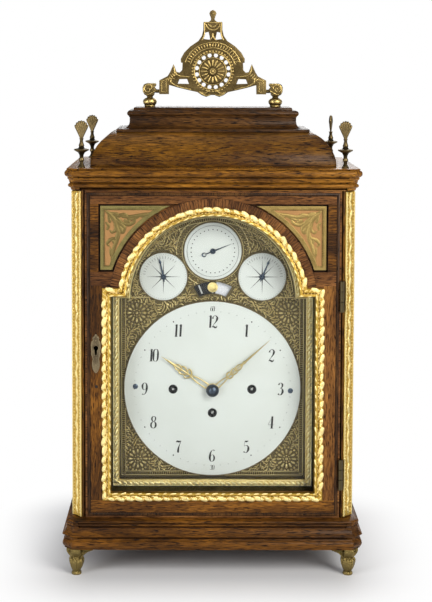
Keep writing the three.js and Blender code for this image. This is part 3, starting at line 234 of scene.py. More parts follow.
def wood(name, across, along, tones, figure=1.0, radial=None, ripple=None):
    """French-polished open-grained wood. Its pores show as short dark dashes along the grain and
    its growth rings as soft stripes, under a thin gloss, and the hollows of its mouldings are
    darkened as old polish and painted shade. across and along are the axes of the grain: 0, 1 or 2
    for X, Y or Z. radial gives the centre height of a ring of veneer whose grain runs outwards from
    it, and ripple the spacing in mm of the dark lines across a narrow cross-banded strip."""
    material, tree, shader = surface(name, Specular_IOR_Level=0.12, Coat_Weight=0.03, Coat_Roughness=0.2)
    place = node(tree, "ShaderNodeTexCoord").outputs["Object"]
    if radial is not None:
        apart = node(tree, "ShaderNodeSeparateXYZ", links={0: place})
        up = node(tree, "ShaderNodeMath", {"operation": "SUBTRACT"}, {0: apart.outputs[2]}, _1=radial)
        angle = node(tree, "ShaderNodeMath", {"operation": "ARCTAN2"}, {0: apart, 1: up})
        square = node(tree, "ShaderNodeMath", {"operation": "POWER"}, {0: apart}, _1=2.0)
        square_up = node(tree, "ShaderNodeMath", {"operation": "POWER"}, {0: up}, _1=2.0)
        total = node(tree, "ShaderNodeMath", {"operation": "ADD"}, {0: square, 1: square_up})
        reach = node(tree, "ShaderNodeMath", {"operation": "SQRT"}, {0: total})
        turn = node(tree, "ShaderNodeMath", {"operation": "MULTIPLY"}, {0: angle}, _1=0.1)
        place = node(tree, "ShaderNodeCombineXYZ", links={0: turn, 2: reach})
    # Real pores are 0.2 to 0.3 mm wide and 5 mm long; they are drawn about 0.9 mm by 12 mm, as
    # fine as the picture can show.
    stretch = [1000.0, 1000.0, 1000.0]
    stretch[along] = 1000.0 / 11
    long_place = node(tree, "ShaderNodeMapping", links={0: place}, Scale=stretch)
    broad = [1000.0 / 60, 1000.0 / 60, 1000.0 / 60]
    broad[along] = 1000.0 / 300
    broad_place = node(tree, "ShaderNodeMapping", links={0: place}, Scale=broad)
    rings = node(tree, "ShaderNodeTexNoise", links={0: broad_place}, Scale=2.4 * figure, Detail=3.0,
        Roughness=0.55, Distortion=0.4)
    fibre = node(tree, "ShaderNodeTexNoise", links={0: long_place}, Scale=0.85, Detail=4.0,
        Roughness=0.8)
    pores = node(tree, "ShaderNodeTexNoise", links={0: long_place}, Scale=1.1, Detail=2.0,
        Roughness=0.6)
    turns = node(tree, "ShaderNodeMath", {"operation": "MULTIPLY"}, {0: rings}, _1=90.0)
    stripe = node(tree, "ShaderNodeMath", {"operation": "SINE"}, {0: turns})
    tone = node(tree, "ShaderNodeMath", {"operation": "MULTIPLY_ADD"}, {0: stripe, 2: rings}, _1=0.05)
    tone = node(tree, "ShaderNodeMath", {"operation": "MULTIPLY_ADD"}, {0: fibre, 2: tone}, _1=0.8)
    tone = node(tree, "ShaderNodeMapRange", links={0: tone}, _1=0.56, _2=1.2)
    colour = node(tree, "ShaderNodeValToRGB", links={0: tone}, stops=tones)
    dark = node(tree, "ShaderNodeMapRange", links={0: pores}, _1=0.54, _2=0.62)
    if ripple:
        spread = node(tree, "ShaderNodeSeparateXYZ", links={0: place})
        wander = node(tree, "ShaderNodeMath", {"operation": "MULTIPLY_ADD"},
            {0: rings, 2: spread.outputs[across]}, _1=0.012)
        turns = node(tree, "ShaderNodeMath", {"operation": "MULTIPLY"}, {0: wander},
            _1=2 * pi / (ripple * MM))
        line = node(tree, "ShaderNodeMath", {"operation": "SINE"}, {0: turns})
        line = node(tree, "ShaderNodeMapRange", links={0: line}, _1=0.3, _2=0.95, _4=0.6)
        dark = node(tree, "ShaderNodeMath", {"operation": "MAXIMUM"}, {0: dark, 1: line})
    # Painted shade: by pointiness the colour is darkened and roughened in the hollows, together with the
    # dark pores.
    hollow = node(tree, "ShaderNodeNewGeometry").outputs["Pointiness"]
    hollow = node(tree, "ShaderNodeMapRange", links={0: hollow}, _1=0.49, _2=0.44)
    pores_and_hollow_shade = node(tree, "ShaderNodeMath", {"operation": "MAXIMUM"}, {0: dark, 1: hollow})
    deep = node(tree, "ShaderNodeMix", {"data_type": "RGBA", "blend_type": "MULTIPLY"},
        {6: colour, 0: pores_and_hollow_shade}, _7=linear("#504134")).outputs[2]
    tree.links.new(deep, shader.inputs["Base Color"])
    rough = node(tree, "ShaderNodeMapRange", links={0: pores_and_hollow_shade}, _3=0.38, _4=0.65)
    tree.links.new(rough.outputs[0], shader.inputs["Roughness"])
    height = node(tree, "ShaderNodeMath", {"operation": "MULTIPLY_ADD"}, {0: dark, 2: fibre}, _1=-1.2)
    bump = node(tree, "ShaderNodeBump", links={"Height": height}, Strength=0.35, Distance=0.2 * MM)
    tree.links.new(bump.outputs[0], shader.inputs["Normal"])
    return material


def wood_board(name, tones):
    """Mouldings mitred at the corners: the grain runs along X on the front and back, and along
    Y on the sides."""
    return wood(name, 2, 0, tones), wood(name + "_side", 2, 1, tones)


def metal(name, bright, mid, dark, rough, pit_mm=0.9, relief=0.12, worn=0.5):
    """Cast or carved metal: bright where it is rubbed, and dark in the hollows as grime and painted shade.
    pit_mm is the size of its casting grain."""
    material, tree, shader = surface(name, Metallic=1.0)
    place = node(tree, "ShaderNodeTexCoord").outputs["Object"]
    grain = node(tree, "ShaderNodeTexNoise", links={0: place}, Scale=1 / (pit_mm * MM), Detail=3.0,
        Roughness=0.6)
    cloud = node(tree, "ShaderNodeTexNoise", links={0: place}, Scale=1 / (14 * pit_mm * MM), Detail=2.0)
    # Painted shade and wear: by pointiness the colour is darker in the hollows and lighter on the rubbed
    # edges.
    edge = node(tree, "ShaderNodeNewGeometry").outputs["Pointiness"]
    edge = node(tree, "ShaderNodeMapRange", links={0: edge}, _1=0.44, _2=0.56)
    tone = node(tree, "ShaderNodeMath", {"operation": "MULTIPLY_ADD"}, {0: grain, 2: edge}, _1=0.7)
    tone = node(tree, "ShaderNodeMath", {"operation": "MULTIPLY_ADD"}, {0: cloud, 2: tone}, _1=worn)
    tone = node(tree, "ShaderNodeMapRange", links={0: tone}, _1=0.55, _2=1.45)
    colour = node(tree, "ShaderNodeValToRGB", links={0: tone},
        stops=[(0.0, dark), (0.45, mid), (1.0, bright)])
    tree.links.new(colour.outputs[0], shader.inputs["Base Color"])
    polish = node(tree, "ShaderNodeMapRange", links={0: tone}, _3=min(1, rough + 0.25), _4=rough)
    tree.links.new(polish.outputs[0], shader.inputs["Roughness"])
    bump = node(tree, "ShaderNodeBump", links={"Height": grain}, Strength=relief * 3,
        Distance=pit_mm * MM * 0.4)
    tree.links.new(bump.outputs[0], shader.inputs["Normal"])
    return material


def enamel(name, tint):
    """Fired enamel on copper: cool white glass, faintly uneven, with a hard gloss."""
    material, tree, shader = surface(name, Roughness=0.22, IOR=1.55)
    place = node(tree, "ShaderNodeTexCoord").outputs["Object"]
    cloud = node(tree, "ShaderNodeTexNoise", links={0: place}, Scale=28.0, Detail=2.0)
    colour = node(tree, "ShaderNodeValToRGB", links={0: cloud}, stops=[(0.3, tint), (0.7, "#dfe3e1")])
    tree.links.new(colour.outputs[0], shader.inputs["Base Color"])
    wave = node(tree, "ShaderNodeBump", links={"Height": cloud}, Strength=0.05, Distance=0.4 * MM)
    tree.links.new(wave.outputs[0], shader.inputs["Normal"])
    return material


def painted(name, colour, rough=0.6):
    """Thin ink or paint, a little broken up where it is worn."""
    material, tree, shader = surface(name, Roughness=rough)
    place = node(tree, "ShaderNodeTexCoord").outputs["Object"]
    speck = node(tree, "ShaderNodeTexNoise", links={0: place}, Scale=700.0, Detail=2.0)
    lighter = [min(255, int(colour[i:i + 2], 16) + 26) for i in (1, 3, 5)]
    tint = node(tree, "ShaderNodeValToRGB", links={0: speck},
        stops=[(0.4, colour), (0.8, "#%02x%02x%02x" % tuple(lighter))])
    tree.links.new(tint.outputs[0], shader.inputs["Base Color"])
    return material


def clear_glass(name):
    """Thin window glass: almost nothing but a faint reflection at a slant."""
    material, tree = blank_material(name)
    through = node(tree, "ShaderNodeBsdfTransparent", Color=linear("#fdfefd"))
    shine = node(tree, "ShaderNodeBsdfGlossy", Roughness=0.02)
    slant = node(tree, "ShaderNodeFresnel", IOR=1.25)
    both = node(tree, "ShaderNodeMixShader", links={0: slant, 1: through, 2: shine})
    node(tree, "ShaderNodeOutputMaterial", links={0: both})
    return material


make_camera()
make_lights()
make_floor()

# The cornice's tones are a lighter copy of the case's, as painted light.
CORNICE_TONES = [(0.0, "#2c1806"), (0.35, "#5c390f"), (0.65, "#825518"), (1.0, "#a97528")]
CASE_TONES = [(0.0, "#1f0f03"), (0.35, "#432709"), (0.65, "#62400f"), (1.0, "#88591b")]
RAIL_TONES = [(0.0, "#27150b"), (0.4, "#533318"), (0.7, "#714925"), (1.0, "#926333")]
STILE_TONES = [(0.0, "#1c0d03"), (0.4, "#44280b"), (0.7, "#643e12"), (1.0, "#8a5a1e")]
# The right stile's tones are a lighter copy of the left's, as painted light from the right.
RIGHT_STILE_TONES = [(0.0, "#291609"), (0.4, "#5d3a18"), (0.7, "#805526"), (1.0, "#a57338")]
BEAD_TONES = [(0.0, "#140b04"), (0.5, "#37220f"), (1.0, "#5c3d1b")]
# The cap's tones are a darker copy of the case's, as painted shade.
CAP_TONES = [(0.0, "#120902"), (0.35, "#2d1a08"), (0.65, "#442a0f"), (1.0, "#63411a")]
BASE_TONES = [(0.0, "#1d0d03"), (0.35, "#42270b"), (0.65, "#613c11"), (1.0, "#85551b")]
DEAL_TONES = [(0.0, "#5b4227"), (0.5, "#8a6a42"), (1.0, "#a88757")]

case_wood, case_wood_side = wood_board("polished_case_wood", CASE_TONES)
cornice_wood_in_painted_light, cornice_wood_side = wood_board("polished_cornice_wood", CORNICE_TONES)
cap_wood_in_painted_shade, cap_wood_side = wood_board("polished_cap_wood", CAP_TONES)
base_wood, base_wood_side = wood_board("polished_base_wood", BASE_TONES)
# Dark wood for the quirks: old polish and painted shade, on top of the grooves' own shadow.
quirk_wood_in_painted_shade = wood("wood_under_old_polish_and_painted_shade", 2, 0, [(0.0, "#1e0f05"), (1.0, "#4a2c12")])
panel_wood = wood("polished_side_panel_wood", 1, 2, CASE_TONES)
rail_wood = wood("polished_rail_wood", 2, 0, RAIL_TONES)
stile_wood = wood("polished_stile_wood", 0, 2, STILE_TONES)
right_stile_wood_in_painted_light = wood("polished_right_stile_wood", 0, 2, RIGHT_STILE_TONES)
cross_wood = wood("cross_banded_stile_wood", 2, 0, STILE_TONES, figure=1.6, ripple=3.1)
base_rail_wood = wood("polished_bottom_rail_wood", 2, 0, STILE_TONES)
bead_wood = wood("dark_bead_wood", 0, 2, BEAD_TONES)
arch_wood = wood("cross_banded_arch_wood", 0, 2, RAIL_TONES, figure=1.6, radial=ARCH_Z, ripple=2.9)
deal = wood("scrubbed_deal", 2, 0, DEAL_TONES)

gilding = metal("burnished_gilding", "#fbe59e", "#c09e4b", "#3f2e0d", 0.3, 1.0, 0.6, 1.3)
worn_gilding = metal("worn_pilaster_gilding", "#ead591", "#a48a46", "#34270d", 0.32, 1.0, 0.6, 1.4)
deep_gilding = metal("shaded_gilding", "#c4a048", "#876825", "#31230a", 0.38, 1.0, 0.45, 0.9)
cream_gilding = metal("rubbed_cream_gilding", "#ffefb4", "#d8ba6a", "#4c3c16", 0.34, 0.9, 0.5)
mask_brass = metal("dark_mask_brass", "#8d8258", "#5a5134", "#1f1b10", 0.42, 1.0, 0.2)
cast_brass = metal("aged_cast_brass", "#bda468", "#6a5731", "#171106", 0.32, 0.8, 0.3)
patina_brass = metal("patinated_cast_brass", "#6f5e3b", "#362b17", "#0b0804", 0.42, 0.8, 0.3)
dark_brass = metal("weathered_bronze", "#706040", "#2b2315", "#0a0804", 0.4, 0.8, 0.25)
foot_brass = metal("worn_cast_brass", "#857446", "#30270f", "#070502", 0.38, 1.0, 0.8, 1.1)
dull_brass = metal("tarnished_brass", "#82745a", "#40362a", "#120e09", 0.42, 0.8, 0.4)
black_brass = metal("blackened_hinge_brass", "#544b36", "#221d13", "#080705", 0.42, 0.8, 0.2)
hand_brass = metal("gilt_hand_brass", "#dcc78c", "#9a8250", "#332810", 0.3, 0.6, 0.2)
# The next three are lit and shaded copies of one brass for the corner plates: the first brighter as painted
# light, the other two darker as painted shade.
right_spandrel_brass_in_painted_light = metal("right_spandrel_brass_in_painted_light", "#9d8650", "#554527", "#171108", 0.38, 0.7, 0.4)
olive_brass = metal("left_spandrel_border_in_painted_shade", "#84794a", "#4c432a", "#19150c", 0.42, 0.7, 0.4)
left_spandrel_brass_in_painted_shade = metal("left_spandrel_brass_in_painted_shade", "#7a6a40", "#3e3320", "#120e07", 0.42, 0.7, 0.4)
copper = metal("copper_ground", "#ac8254", "#7b5634", "#35200f", 0.44, 0.9, 0.35)
dial_brass = metal("embossed_dial_brass", "#dac893", "#83734a", "#231c0f", 0.34, 0.7, 0.3)
matted_brass = metal("matted_dial_ground", "#6c6042", "#3a311e", "#120f08", 0.5, 0.6, 0.4)
bright_brass = metal("lacquered_brass", "#f0d890", "#c9a558", "#6d5526", 0.26, 0.8, 0.1)
blued_steel = metal("blued_steel", "#5a6676", "#2b3340", "#14181f", 0.3, 0.8, 0.05)
grey_steel = metal("polished_steel", "#c9cac8", "#8f908e", "#4d4d4b", 0.3, 0.8, 0.08)
bell_metal = metal("turned_bell_metal", "#e8dcb8", "#b8a678", "#6a5c38", 0.28, 0.9, 0.06)
white_enamel = enamel("white_dial_enamel", "#dadedb")
black_paint = painted("black_dial_paint", "#0e0f11")
grey_paint = painted("grey_dial_paint", "#4a4d50")
# Near-black paint, used as painted shade inside holes.
hole_painted_shade = painted("painted_shade_inside_a_hole", "#040302", 0.9)
# White for the painted reflection behind the pendulum slot.
white_painted_reflection = painted("white_painted_reflection", "#d8d8e0")
thin_glass = clear_glass("thin_window_glass")

NODE_FINISH = (
    (deal, ("seat_board",)), (rail_wood, ("front_door_frame",)), (stile_wood, ("rear_door_frame",)),
    (thin_glass, ("left_side_window", "right_side_window", "front_door_glass", "rear_door_glass")),
    (mask_brass, ("dial_mask",)), (matted_brass, ("dial_plate",)),
    (black_brass, ("upper_case_hinge", "lower_case_hinge", "upper_door_hinge", "lower_door_hinge")),
    (bright_brass, ("movement_front_plate", "movement_back_plate", "minute_wheel", "hour_wheel")),
    (grey_steel, ("centre_arbor", "lock_bolt")),
    (white_enamel, ("main_dial", "date_dial", "strike_dial", "repeat_dial")))
finish_of = {name: finish for finish, names in NODE_FINISH for name in names}
for name, piece in nodes.items():
    piece.data.materials.clear()
    piece.data.materials.append(finish_of.get(name, cast_brass))


# ------------------------------------------------------------------ modelling

def only(piece):
    """Selects one piece and nothing else."""
    bpy.ops.object.select_all(action="DESELECT")
    piece.select_set(True)
    bpy.context.view_layer.objects.active = piece


def apply_all(piece):
    only(piece)
    for modifier in list(piece.modifiers):
        bpy.ops.object.modifier_apply(modifier=modifier.name)


def smooth(piece, angle=35):
    only(piece)
    bpy.ops.object.shade_smooth_by_angle(angle=radians(angle))


def rounded(piece, width_mm, segments=2):
    """Breaks the sharp edges."""
    bevel = piece.modifiers.new("edges", "BEVEL")
    bevel.width = width_mm * MM
    bevel.segments = segments
    bevel.limit_method = "ANGLE"
    bevel.angle_limit = radians(32)
    apply_all(piece)


def settle(piece, body, finish, slot, *replaced):
    """Gives a finished piece its material and its body, in place of CAD nodes."""
    if finish:
        coat(finish, piece)
    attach(piece, body)
    if replaced:
        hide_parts(*replaced)
    return piece


def coat(finish, *pieces):
    """Gives parts of a piece their own finish before they are joined."""
    for piece in pieces:
        piece.data.materials.clear()
        piece.data.materials.append(finish)


def copied(piece, move=Matrix()):
    """Another one of a piece, moved, with a mesh of its own."""
    twin = piece.copy()
    twin.data = piece.data.copy()
    twin.data.transform(move)
    bpy.context.scene.collection.objects.link(twin)
    return twin


def faces_out(piece):
    """Turns all faces outwards again after a shape was mirrored or turned inside out."""
    only(piece)
    bpy.ops.object.mode_set(mode="EDIT")
    bpy.ops.mesh.select_all(action="SELECT")
    bpy.ops.mesh.normals_make_consistent(inside=False)
    bpy.ops.object.mode_set(mode="OBJECT")
    return piece


def merged_copy(node_name, name):
    """A copy of a CAD node with its loose triangles joined."""
    piece = copied(nodes[node_name])
    piece.name = name
    piece.parent = None
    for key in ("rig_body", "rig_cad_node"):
        if key in piece:
            del piece[key]
    only(piece)
    bpy.ops.object.mode_set(mode="EDIT")
    bpy.ops.mesh.select_all(action="SELECT")
    bpy.ops.mesh.remove_doubles(threshold=0.002 * MM)
    bpy.ops.mesh.dissolve_limited(angle_limit=radians(0.4))
    bpy.ops.object.mode_set(mode="OBJECT")
    return piece


def pen(name, points):
    """One vertex drawn through the points as a chain of edges, left selected in edit mode."""
    bpy.ops.object.select_all(action="DESELECT")
    bpy.ops.mesh.primitive_plane_add(size=MM)
    piece = bpy.context.object
    piece.name = name
    bpy.ops.object.mode_set(mode="EDIT")
    bpy.ops.mesh.merge(type="CENTER")
    bpy.ops.transform.translate(value=points[0])
    for start, end in zip(points, points[1:]):
        bpy.ops.mesh.extrude_region_move(TRANSFORM_OT_translate={"value": Vector(end) - Vector(start)})
    bpy.ops.mesh.select_all(action="SELECT")
    return piece


def turned(name, profile, place=(0, 0, 0), sides=32, axis="Z"):
    """A piece turned on a lathe: [radius, height] in mm about an axis through place."""
    along_y = axis == "Y"
    points = [(r * MM, h * MM, 0) if along_y else (r * MM, 0, h * MM) for r, h in profile]
    piece = pen(name, points)
    bpy.ops.mesh.spin(steps=sides, angle=2 * pi, center=(0, 0, 0), axis=(0, 1, 0) if along_y else (0, 0, 1))
    bpy.ops.mesh.select_all(action="SELECT")
    bpy.ops.mesh.remove_doubles(threshold=0.001 * MM)
    bpy.ops.mesh.normals_make_consistent(inside=False)
    bpy.ops.transform.translate(value=place)
    bpy.ops.object.mode_set(mode="OBJECT")
    smooth(piece)
    return piece


def plate(name, outline, front_y, depth, edge=0.0):
    """A flat outline of the front elevation, (x, z) in metres, given a depth backwards."""
    piece = pen(name, [(x, front_y, z) for x, z in outline])
    bpy.ops.mesh.edge_face_add()
    bpy.ops.mesh.extrude_region_move(TRANSFORM_OT_translate={"value": (0, depth, 0)})
    bpy.ops.mesh.select_all(action="SELECT")
    bpy.ops.mesh.normals_make_consistent(inside=False)
    bpy.ops.object.mode_set(mode="OBJECT")
    if edge:
        rounded(piece, edge)
    return piece


def carve(piece, *cutters):
    """Cuts other pieces out of one and removes them."""
    for cutter in cutters:
        cutting = piece.modifiers.new("cut", "BOOLEAN")
        cutting.operation = "DIFFERENCE"
        cutting.object = cutter
    apply_all(piece)
    for cutter in cutters:
        bpy.data.objects.remove(cutter)
    return piece


def joined(name, pieces):
    bpy.ops.object.select_all(action="DESELECT")
    for piece in pieces:
        piece.select_set(True)
    bpy.context.view_layer.objects.active = pieces[0]
    if len(pieces) > 1:
        bpy.ops.object.join()
    pieces[0].name = name
    return pieces[0]


def arc(x, z, radius, start, end, steps):
    """Points on an arc, angles in degrees from +X."""
    turns = [radians(start + (end - start) * i / steps) for i in range(steps + 1)]
    return [(x + radius * cos(t), z + radius * sin(t)) for t in turns]


def rectangle(x0, x1, z0, z1):
    return [(x0, z0), (x1, z0), (x1, z1), (x0, z1)]


def break_arch(half, foot, shoulder, radius, steps=40):
    """A straight-sided outline with an arched head on square shoulders, in metres."""
    spring = degrees(asin((shoulder - ARCH_Z) / radius))
    head = arc(0, ARCH_Z, radius, spring, 180 - spring, steps)
    return [(-half, foot), (half, foot), (half, shoulder)] + head + [(-half, shoulder)]


def along(points, pitch, closed=True):
    """Places at an even pitch along a chain: x, z and the direction in radians."""
    chain = points + points[:1] if closed else points
    lengths = [dist(a, b) for a, b in zip(chain, chain[1:])]
    count = max(1, round(sum(lengths) / pitch))
    step = sum(lengths) / count
    places, walked, index = [], 0.0, 0
    for i in range(count):
        wanted = (i + 0.5) * step
        while walked + lengths[index] < wanted:
            walked += lengths[index]
            index += 1
        (ax, az), (bx, bz) = chain[index], chain[index + 1]
        share = (wanted - walked) / lengths[index]
        places.append((ax + (bx - ax) * share, az + (bz - az) * share, atan2(bz - az, bx - ax)))
    return places


def profiled(name, outline, profile, base_y):
    """A moulding round an outline: profile points are (inset, rise) in mm, rise to the front.
    One line of it is drawn, and extruded to each next line until it meets the first again."""
    rings = [[Vector((x, base_y - rise * MM, z)) for x, z in outline(inset * MM)] for inset, rise in profile]
    piece = pen(name, rings[0] + rings[0][:1])
    bpy.ops.mesh.remove_doubles(threshold=0.0005 * MM)
    bpy.ops.object.mode_set(mode="OBJECT")
    count = len(piece.data.vertices)
    for before, after in zip(rings, rings[1:] + rings[:1]):
        bpy.ops.object.mode_set(mode="EDIT")
        bpy.ops.mesh.extrude_edges_move()
        bpy.ops.object.mode_set(mode="OBJECT")
        for vertex in piece.data.vertices[-count:]:
            vertex.co = after[min(range(count), key=lambda i: (before[i] - vertex.co).length_squared)]
    bpy.ops.object.mode_set(mode="EDIT")
    bpy.ops.mesh.select_all(action="SELECT")
    bpy.ops.mesh.remove_doubles(threshold=0.001 * MM)
    bpy.ops.mesh.normals_make_consistent(inside=False)
    bpy.ops.object.mode_set(mode="OBJECT")
    smooth(piece)
    return piece


def lobe(length, width, height, taper=0.5, segments=10, rings=7):
    """A carved lobe lying along X with its crown towards the front, its thin end at -X, in mm."""
    bpy.ops.object.select_all(action="DESELECT")
    bpy.ops.mesh.primitive_uv_sphere_add(segments=segments, ring_count=rings, radius=0.5)
    piece = bpy.context.object
    bpy.ops.object.mode_set(mode="EDIT")
    bpy.ops.transform.rotate(value=pi / 2, orient_axis="Y", center_override=(0, 0, 0))
    bpy.ops.mesh.bisect(plane_co=(0, 0.02, 0), plane_no=(0, 1, 0), use_fill=True, clear_outer=True)
    bpy.ops.mesh.select_all(action="SELECT")
    bpy.ops.transform.resize(value=(length * MM, 2 * height * MM, width * MM), center_override=(0, 0, 0))
    bpy.ops.object.mode_set(mode="OBJECT")
    for vertex in piece.data.vertices:
        share = vertex.co.x / (length * MM) + 0.5
        vertex.co.z *= taper + (1 - taper) * share
        vertex.co.y *= 0.6 * taper + (1 - 0.6 * taper) * share
    smooth(piece, 60)
    return piece


def repeated(name, pattern, places):
    """Copies of one small shape, each (x, y, z, direction, size), joined as one piece. The
    pattern is used up."""
    copies = [copied(pattern, Matrix.Translation((x, y, z)) @ Matrix.Rotation(-direction, 4, "Y")
        @ Matrix.Scale(size, 4)) for x, y, z, direction, size in places]
    bpy.data.objects.remove(pattern)
    return joined(name, copies)


def ring_places(x, y, z, radius, count, facing=1, size=1):
    """Places for repeated, round a circle of a radius in mm. Each faces outwards, or with facing
    at 0 the same way."""
    turns = [2 * pi * i / count for i in range(count)]
    return [(x + radius * MM * cos(t), y, z + radius * MM * sin(t), facing * t, size) for t in turns]


def wires(name, strokes, y=0.0, flat=0.6, sides=2):
    """Drawn or cast lines. Each stroke is a chain of (x, z, width in mm), closed if its ends
    meet; flat is how deep a line is for its width."""
    data = bpy.data.curves.new(name, "CURVE")
    data.dimensions = "3D"
    data.bevel_depth = 0.5 * MM
    data.bevel_resolution = sides
    data.use_fill_caps = True
    for stroke in strokes:
        closed = stroke[0] == stroke[-1]
        chain = stroke[:-1] if closed else stroke
        spline = data.splines.new("POLY")
        spline.points.add(len(chain) - 1)
        spline.use_cyclic_u = closed
        for point, (x, z, width) in zip(spline.points, chain):
            point.co = (x, 0, z, 1)
            point.radius = max(width, 0.08)
    piece = bpy.data.objects.new(name, data)
    bpy.context.scene.collection.objects.link(piece)
    only(piece)
    bpy.ops.object.convert(target="MESH")
    piece = bpy.context.object
    piece.data.transform(Matrix.Translation((0, y, 0)) @ Matrix.Diagonal((1, flat, 1, 1)))
    smooth(piece, 60)
    return piece


def flowing(points, closed=False, steps=5):
    """A smooth stroke through a few points of (x, z, width)."""
    count = len(points)
    chain = []
    for i in range(count if closed else count - 1):
        near = [points[(i + k) % count if closed else min(max(i + k, 0), count - 1)] for k in (-1, 0, 1, 2)]
        for step in range(steps):
            t = step / steps
            chain.append(tuple(
                q + 0.5 * t * (r - p + t * (2 * p - 5 * q + 4 * r - u + t * (3 * q - p - 3 * r + u)))
                for p, q, r, u in zip(*near)))
    return chain + [chain[0] if closed else points[-1]]


def placed(chain, x, z, turn=0.0, size=1.0, flip=1):
    """A stroke in mm set at x, z in metres, turned clockwise by degrees."""
    c, s = cos(radians(turn)), sin(radians(turn))
    return [(x + (flip * px * c + pz * s) * size * MM, z + (pz * c - flip * px * s) * size * MM, w * size)
            for px, pz, w in chain]


def closed_ring(radius, width, sides=48):
    """A circle of one width, in mm about its own centre."""
    turns = [2 * pi * i / sides for i in range(sides)]
    ring = [(radius * sin(turn), radius * cos(turn), width) for turn in turns]
    return ring + ring[:1]


def curl(radius, start, turns, hand=1, width=0.9, steps=20):
    """A scroll winding in to its eye, in mm about the eye."""
    chain = []
    for i in range(steps + 1):
        share = i / steps
        reach = radius * (1 - share) ** 0.8 + 0.14 * radius
        turn = radians(start) + hand * share * turns * 2 * pi
        chain.append((reach * sin(turn), reach * cos(turn), width * (1 - 0.4 * share)))
    return chain


def drape(piece, front):
    """Lays a flat piece on a surface whose front is front(x, z)."""
    for vertex in piece.data.vertices:
        vertex.co.y += front(vertex.co.x, vertex.co.z)
    return piece


# ------------------------------------------------------------------ case

CANT = 10.5 * MM  # of the front corners, along each side


def plan_outline(inset):
    """The plan of the case body, its front corners canted, drawn in by inset."""
    half, deep = BODY_HALF - inset, BODY_BACK - inset
    cant = CANT - inset * (2 - sqrt(2))
    return [(-half + cant, -deep), (half - cant, -deep), (half, -deep + cant), (half, deep),
            (-half, deep), (-half, -deep + cant)]


def groove(z, out, depth, height):
    """A cutter for a sharp quirk round the case: out is how far the moulding stands from the
    body there, all in mm."""
    ring = profiled("groove", plan_outline,
        [(-out - 1.5, z - height), (-out - 1.5, z + height), (-out + depth, z)], 0)
    ring.data.transform(Matrix.Rotation(-pi / 2, 4, "X"))
    return faces_out(ring)


# Each quirk of a moulding: its height, out, depth and half its opening, as groove takes them.
GROOVES = {
    "base_plinth": ((51.6, 5.6, 1.6, 1.2), (55.0, 6.2, 1.2, 0.9), (40.3, 7.4, 1.2, 0.9)),
    "cornice": ((406.3, 4.1, 1.2, 0.9), (401.1, 1.9, 1.1, 0.8), (414.4, 4.9, 0.9, 0.8),
        (394.9, 0.8, 2.4, 1.5)),
}


def lies_in(face_heights, z, height):
    """Whether a face is a side of the quirk at z, by the heights of its corners in mm."""
    lowest, highest = min(face_heights), max(face_heights)
    return lowest > z - height - 0.05 and highest < z + height + 0.05 and highest - lowest > 0.3


def case_pieces():
    """The six boards and mouldings of the case, their edges broken and their quirks cut."""
    for name, finish, side_finish in (
            ("base_plinth", base_wood, base_wood_side),
            ("cornice", cornice_wood_in_painted_light, cornice_wood_side),
            ("bell_top", case_wood, case_wood_side),
            ("bell_top_cap", cap_wood_in_painted_shade, cap_wood_side),
            ("left_side_panel", panel_wood, None),
            ("right_side_panel", panel_wood, None)):
        piece = merged_copy(name, name + "_boards")
        rounded(piece, 0.35)
        if name in GROOVES:
            carve(piece, *[groove(*place) for place in GROOVES[name]])
        smooth(piece, 40)
        settle(piece, "case", finish, "carcase_wood", name)
        if side_finish:
            piece.data.materials.append(side_finish)
            for face in piece.data.polygons:
                face.material_index = 1 if abs(face.normal.x) > abs(face.normal.y) else 0
        # The sloped faces of each quirk take the dark quirk wood, as old polish and painted shade.
        if name in GROOVES:
            piece.data.materials.append(quirk_wood_in_painted_shade)
            for face in piece.data.polygons:
                heights = [piece.data.vertices[i].co.z / MM for i in face.vertices]
                if abs(face.normal.z) > 0.3 and any(
                        lies_in(heights, z, height) for z, _, _, height in GROOVES[name]):
                    face.material_index = 2


# ------------------------------------------------------------------ gilt mouldings

MOULDING_HALF = highs("door_gilt_moulding").x
MOULDING_FOOT = lows("door_gilt_moulding").z
MOULDING_TOP = highs("door_gilt_moulding").z
MOULDING_ARCH = MOULDING_TOP - ARCH_Z
MOULDING_SHOULDER = DIAL_Z + 110 * MM


def moulding_outline(inset):
    return break_arch(MOULDING_HALF - inset, MOULDING_FOOT + inset, MOULDING_SHOULDER - inset,
        MOULDING_ARCH - inset)


def lobes_round(name, outline, inset, pitch, shape, base_y, lean):
    """Carved lobes along an outline, each leaning by an angle from the run of it, a little uneven
    as cut by hand, and smaller next to a corner."""
    chance = random.Random(name)
    chain = outline(inset)
    headings = [atan2(b[1] - a[1], b[0] - a[0]) for a, b in zip(chain, chain[1:] + chain[:1])]
    corners = [place for place, before, after in zip(chain, headings[-1:] + headings, headings)
               if abs(remainder(after - before, 2 * pi)) > 0.5]
    places = []
    for x, z, direction in along(chain, pitch):
        room = min(dist((x, z), corner) for corner in corners) + 0.7 * inset
        size = min(chance.uniform(0.86, 1.12), 2 * room / (shape[0] * MM))
        places.append((x, base_y, z, direction + radians(lean + chance.uniform(-7, 7)), size))
    return repeated(name, lobe(*shape), places)


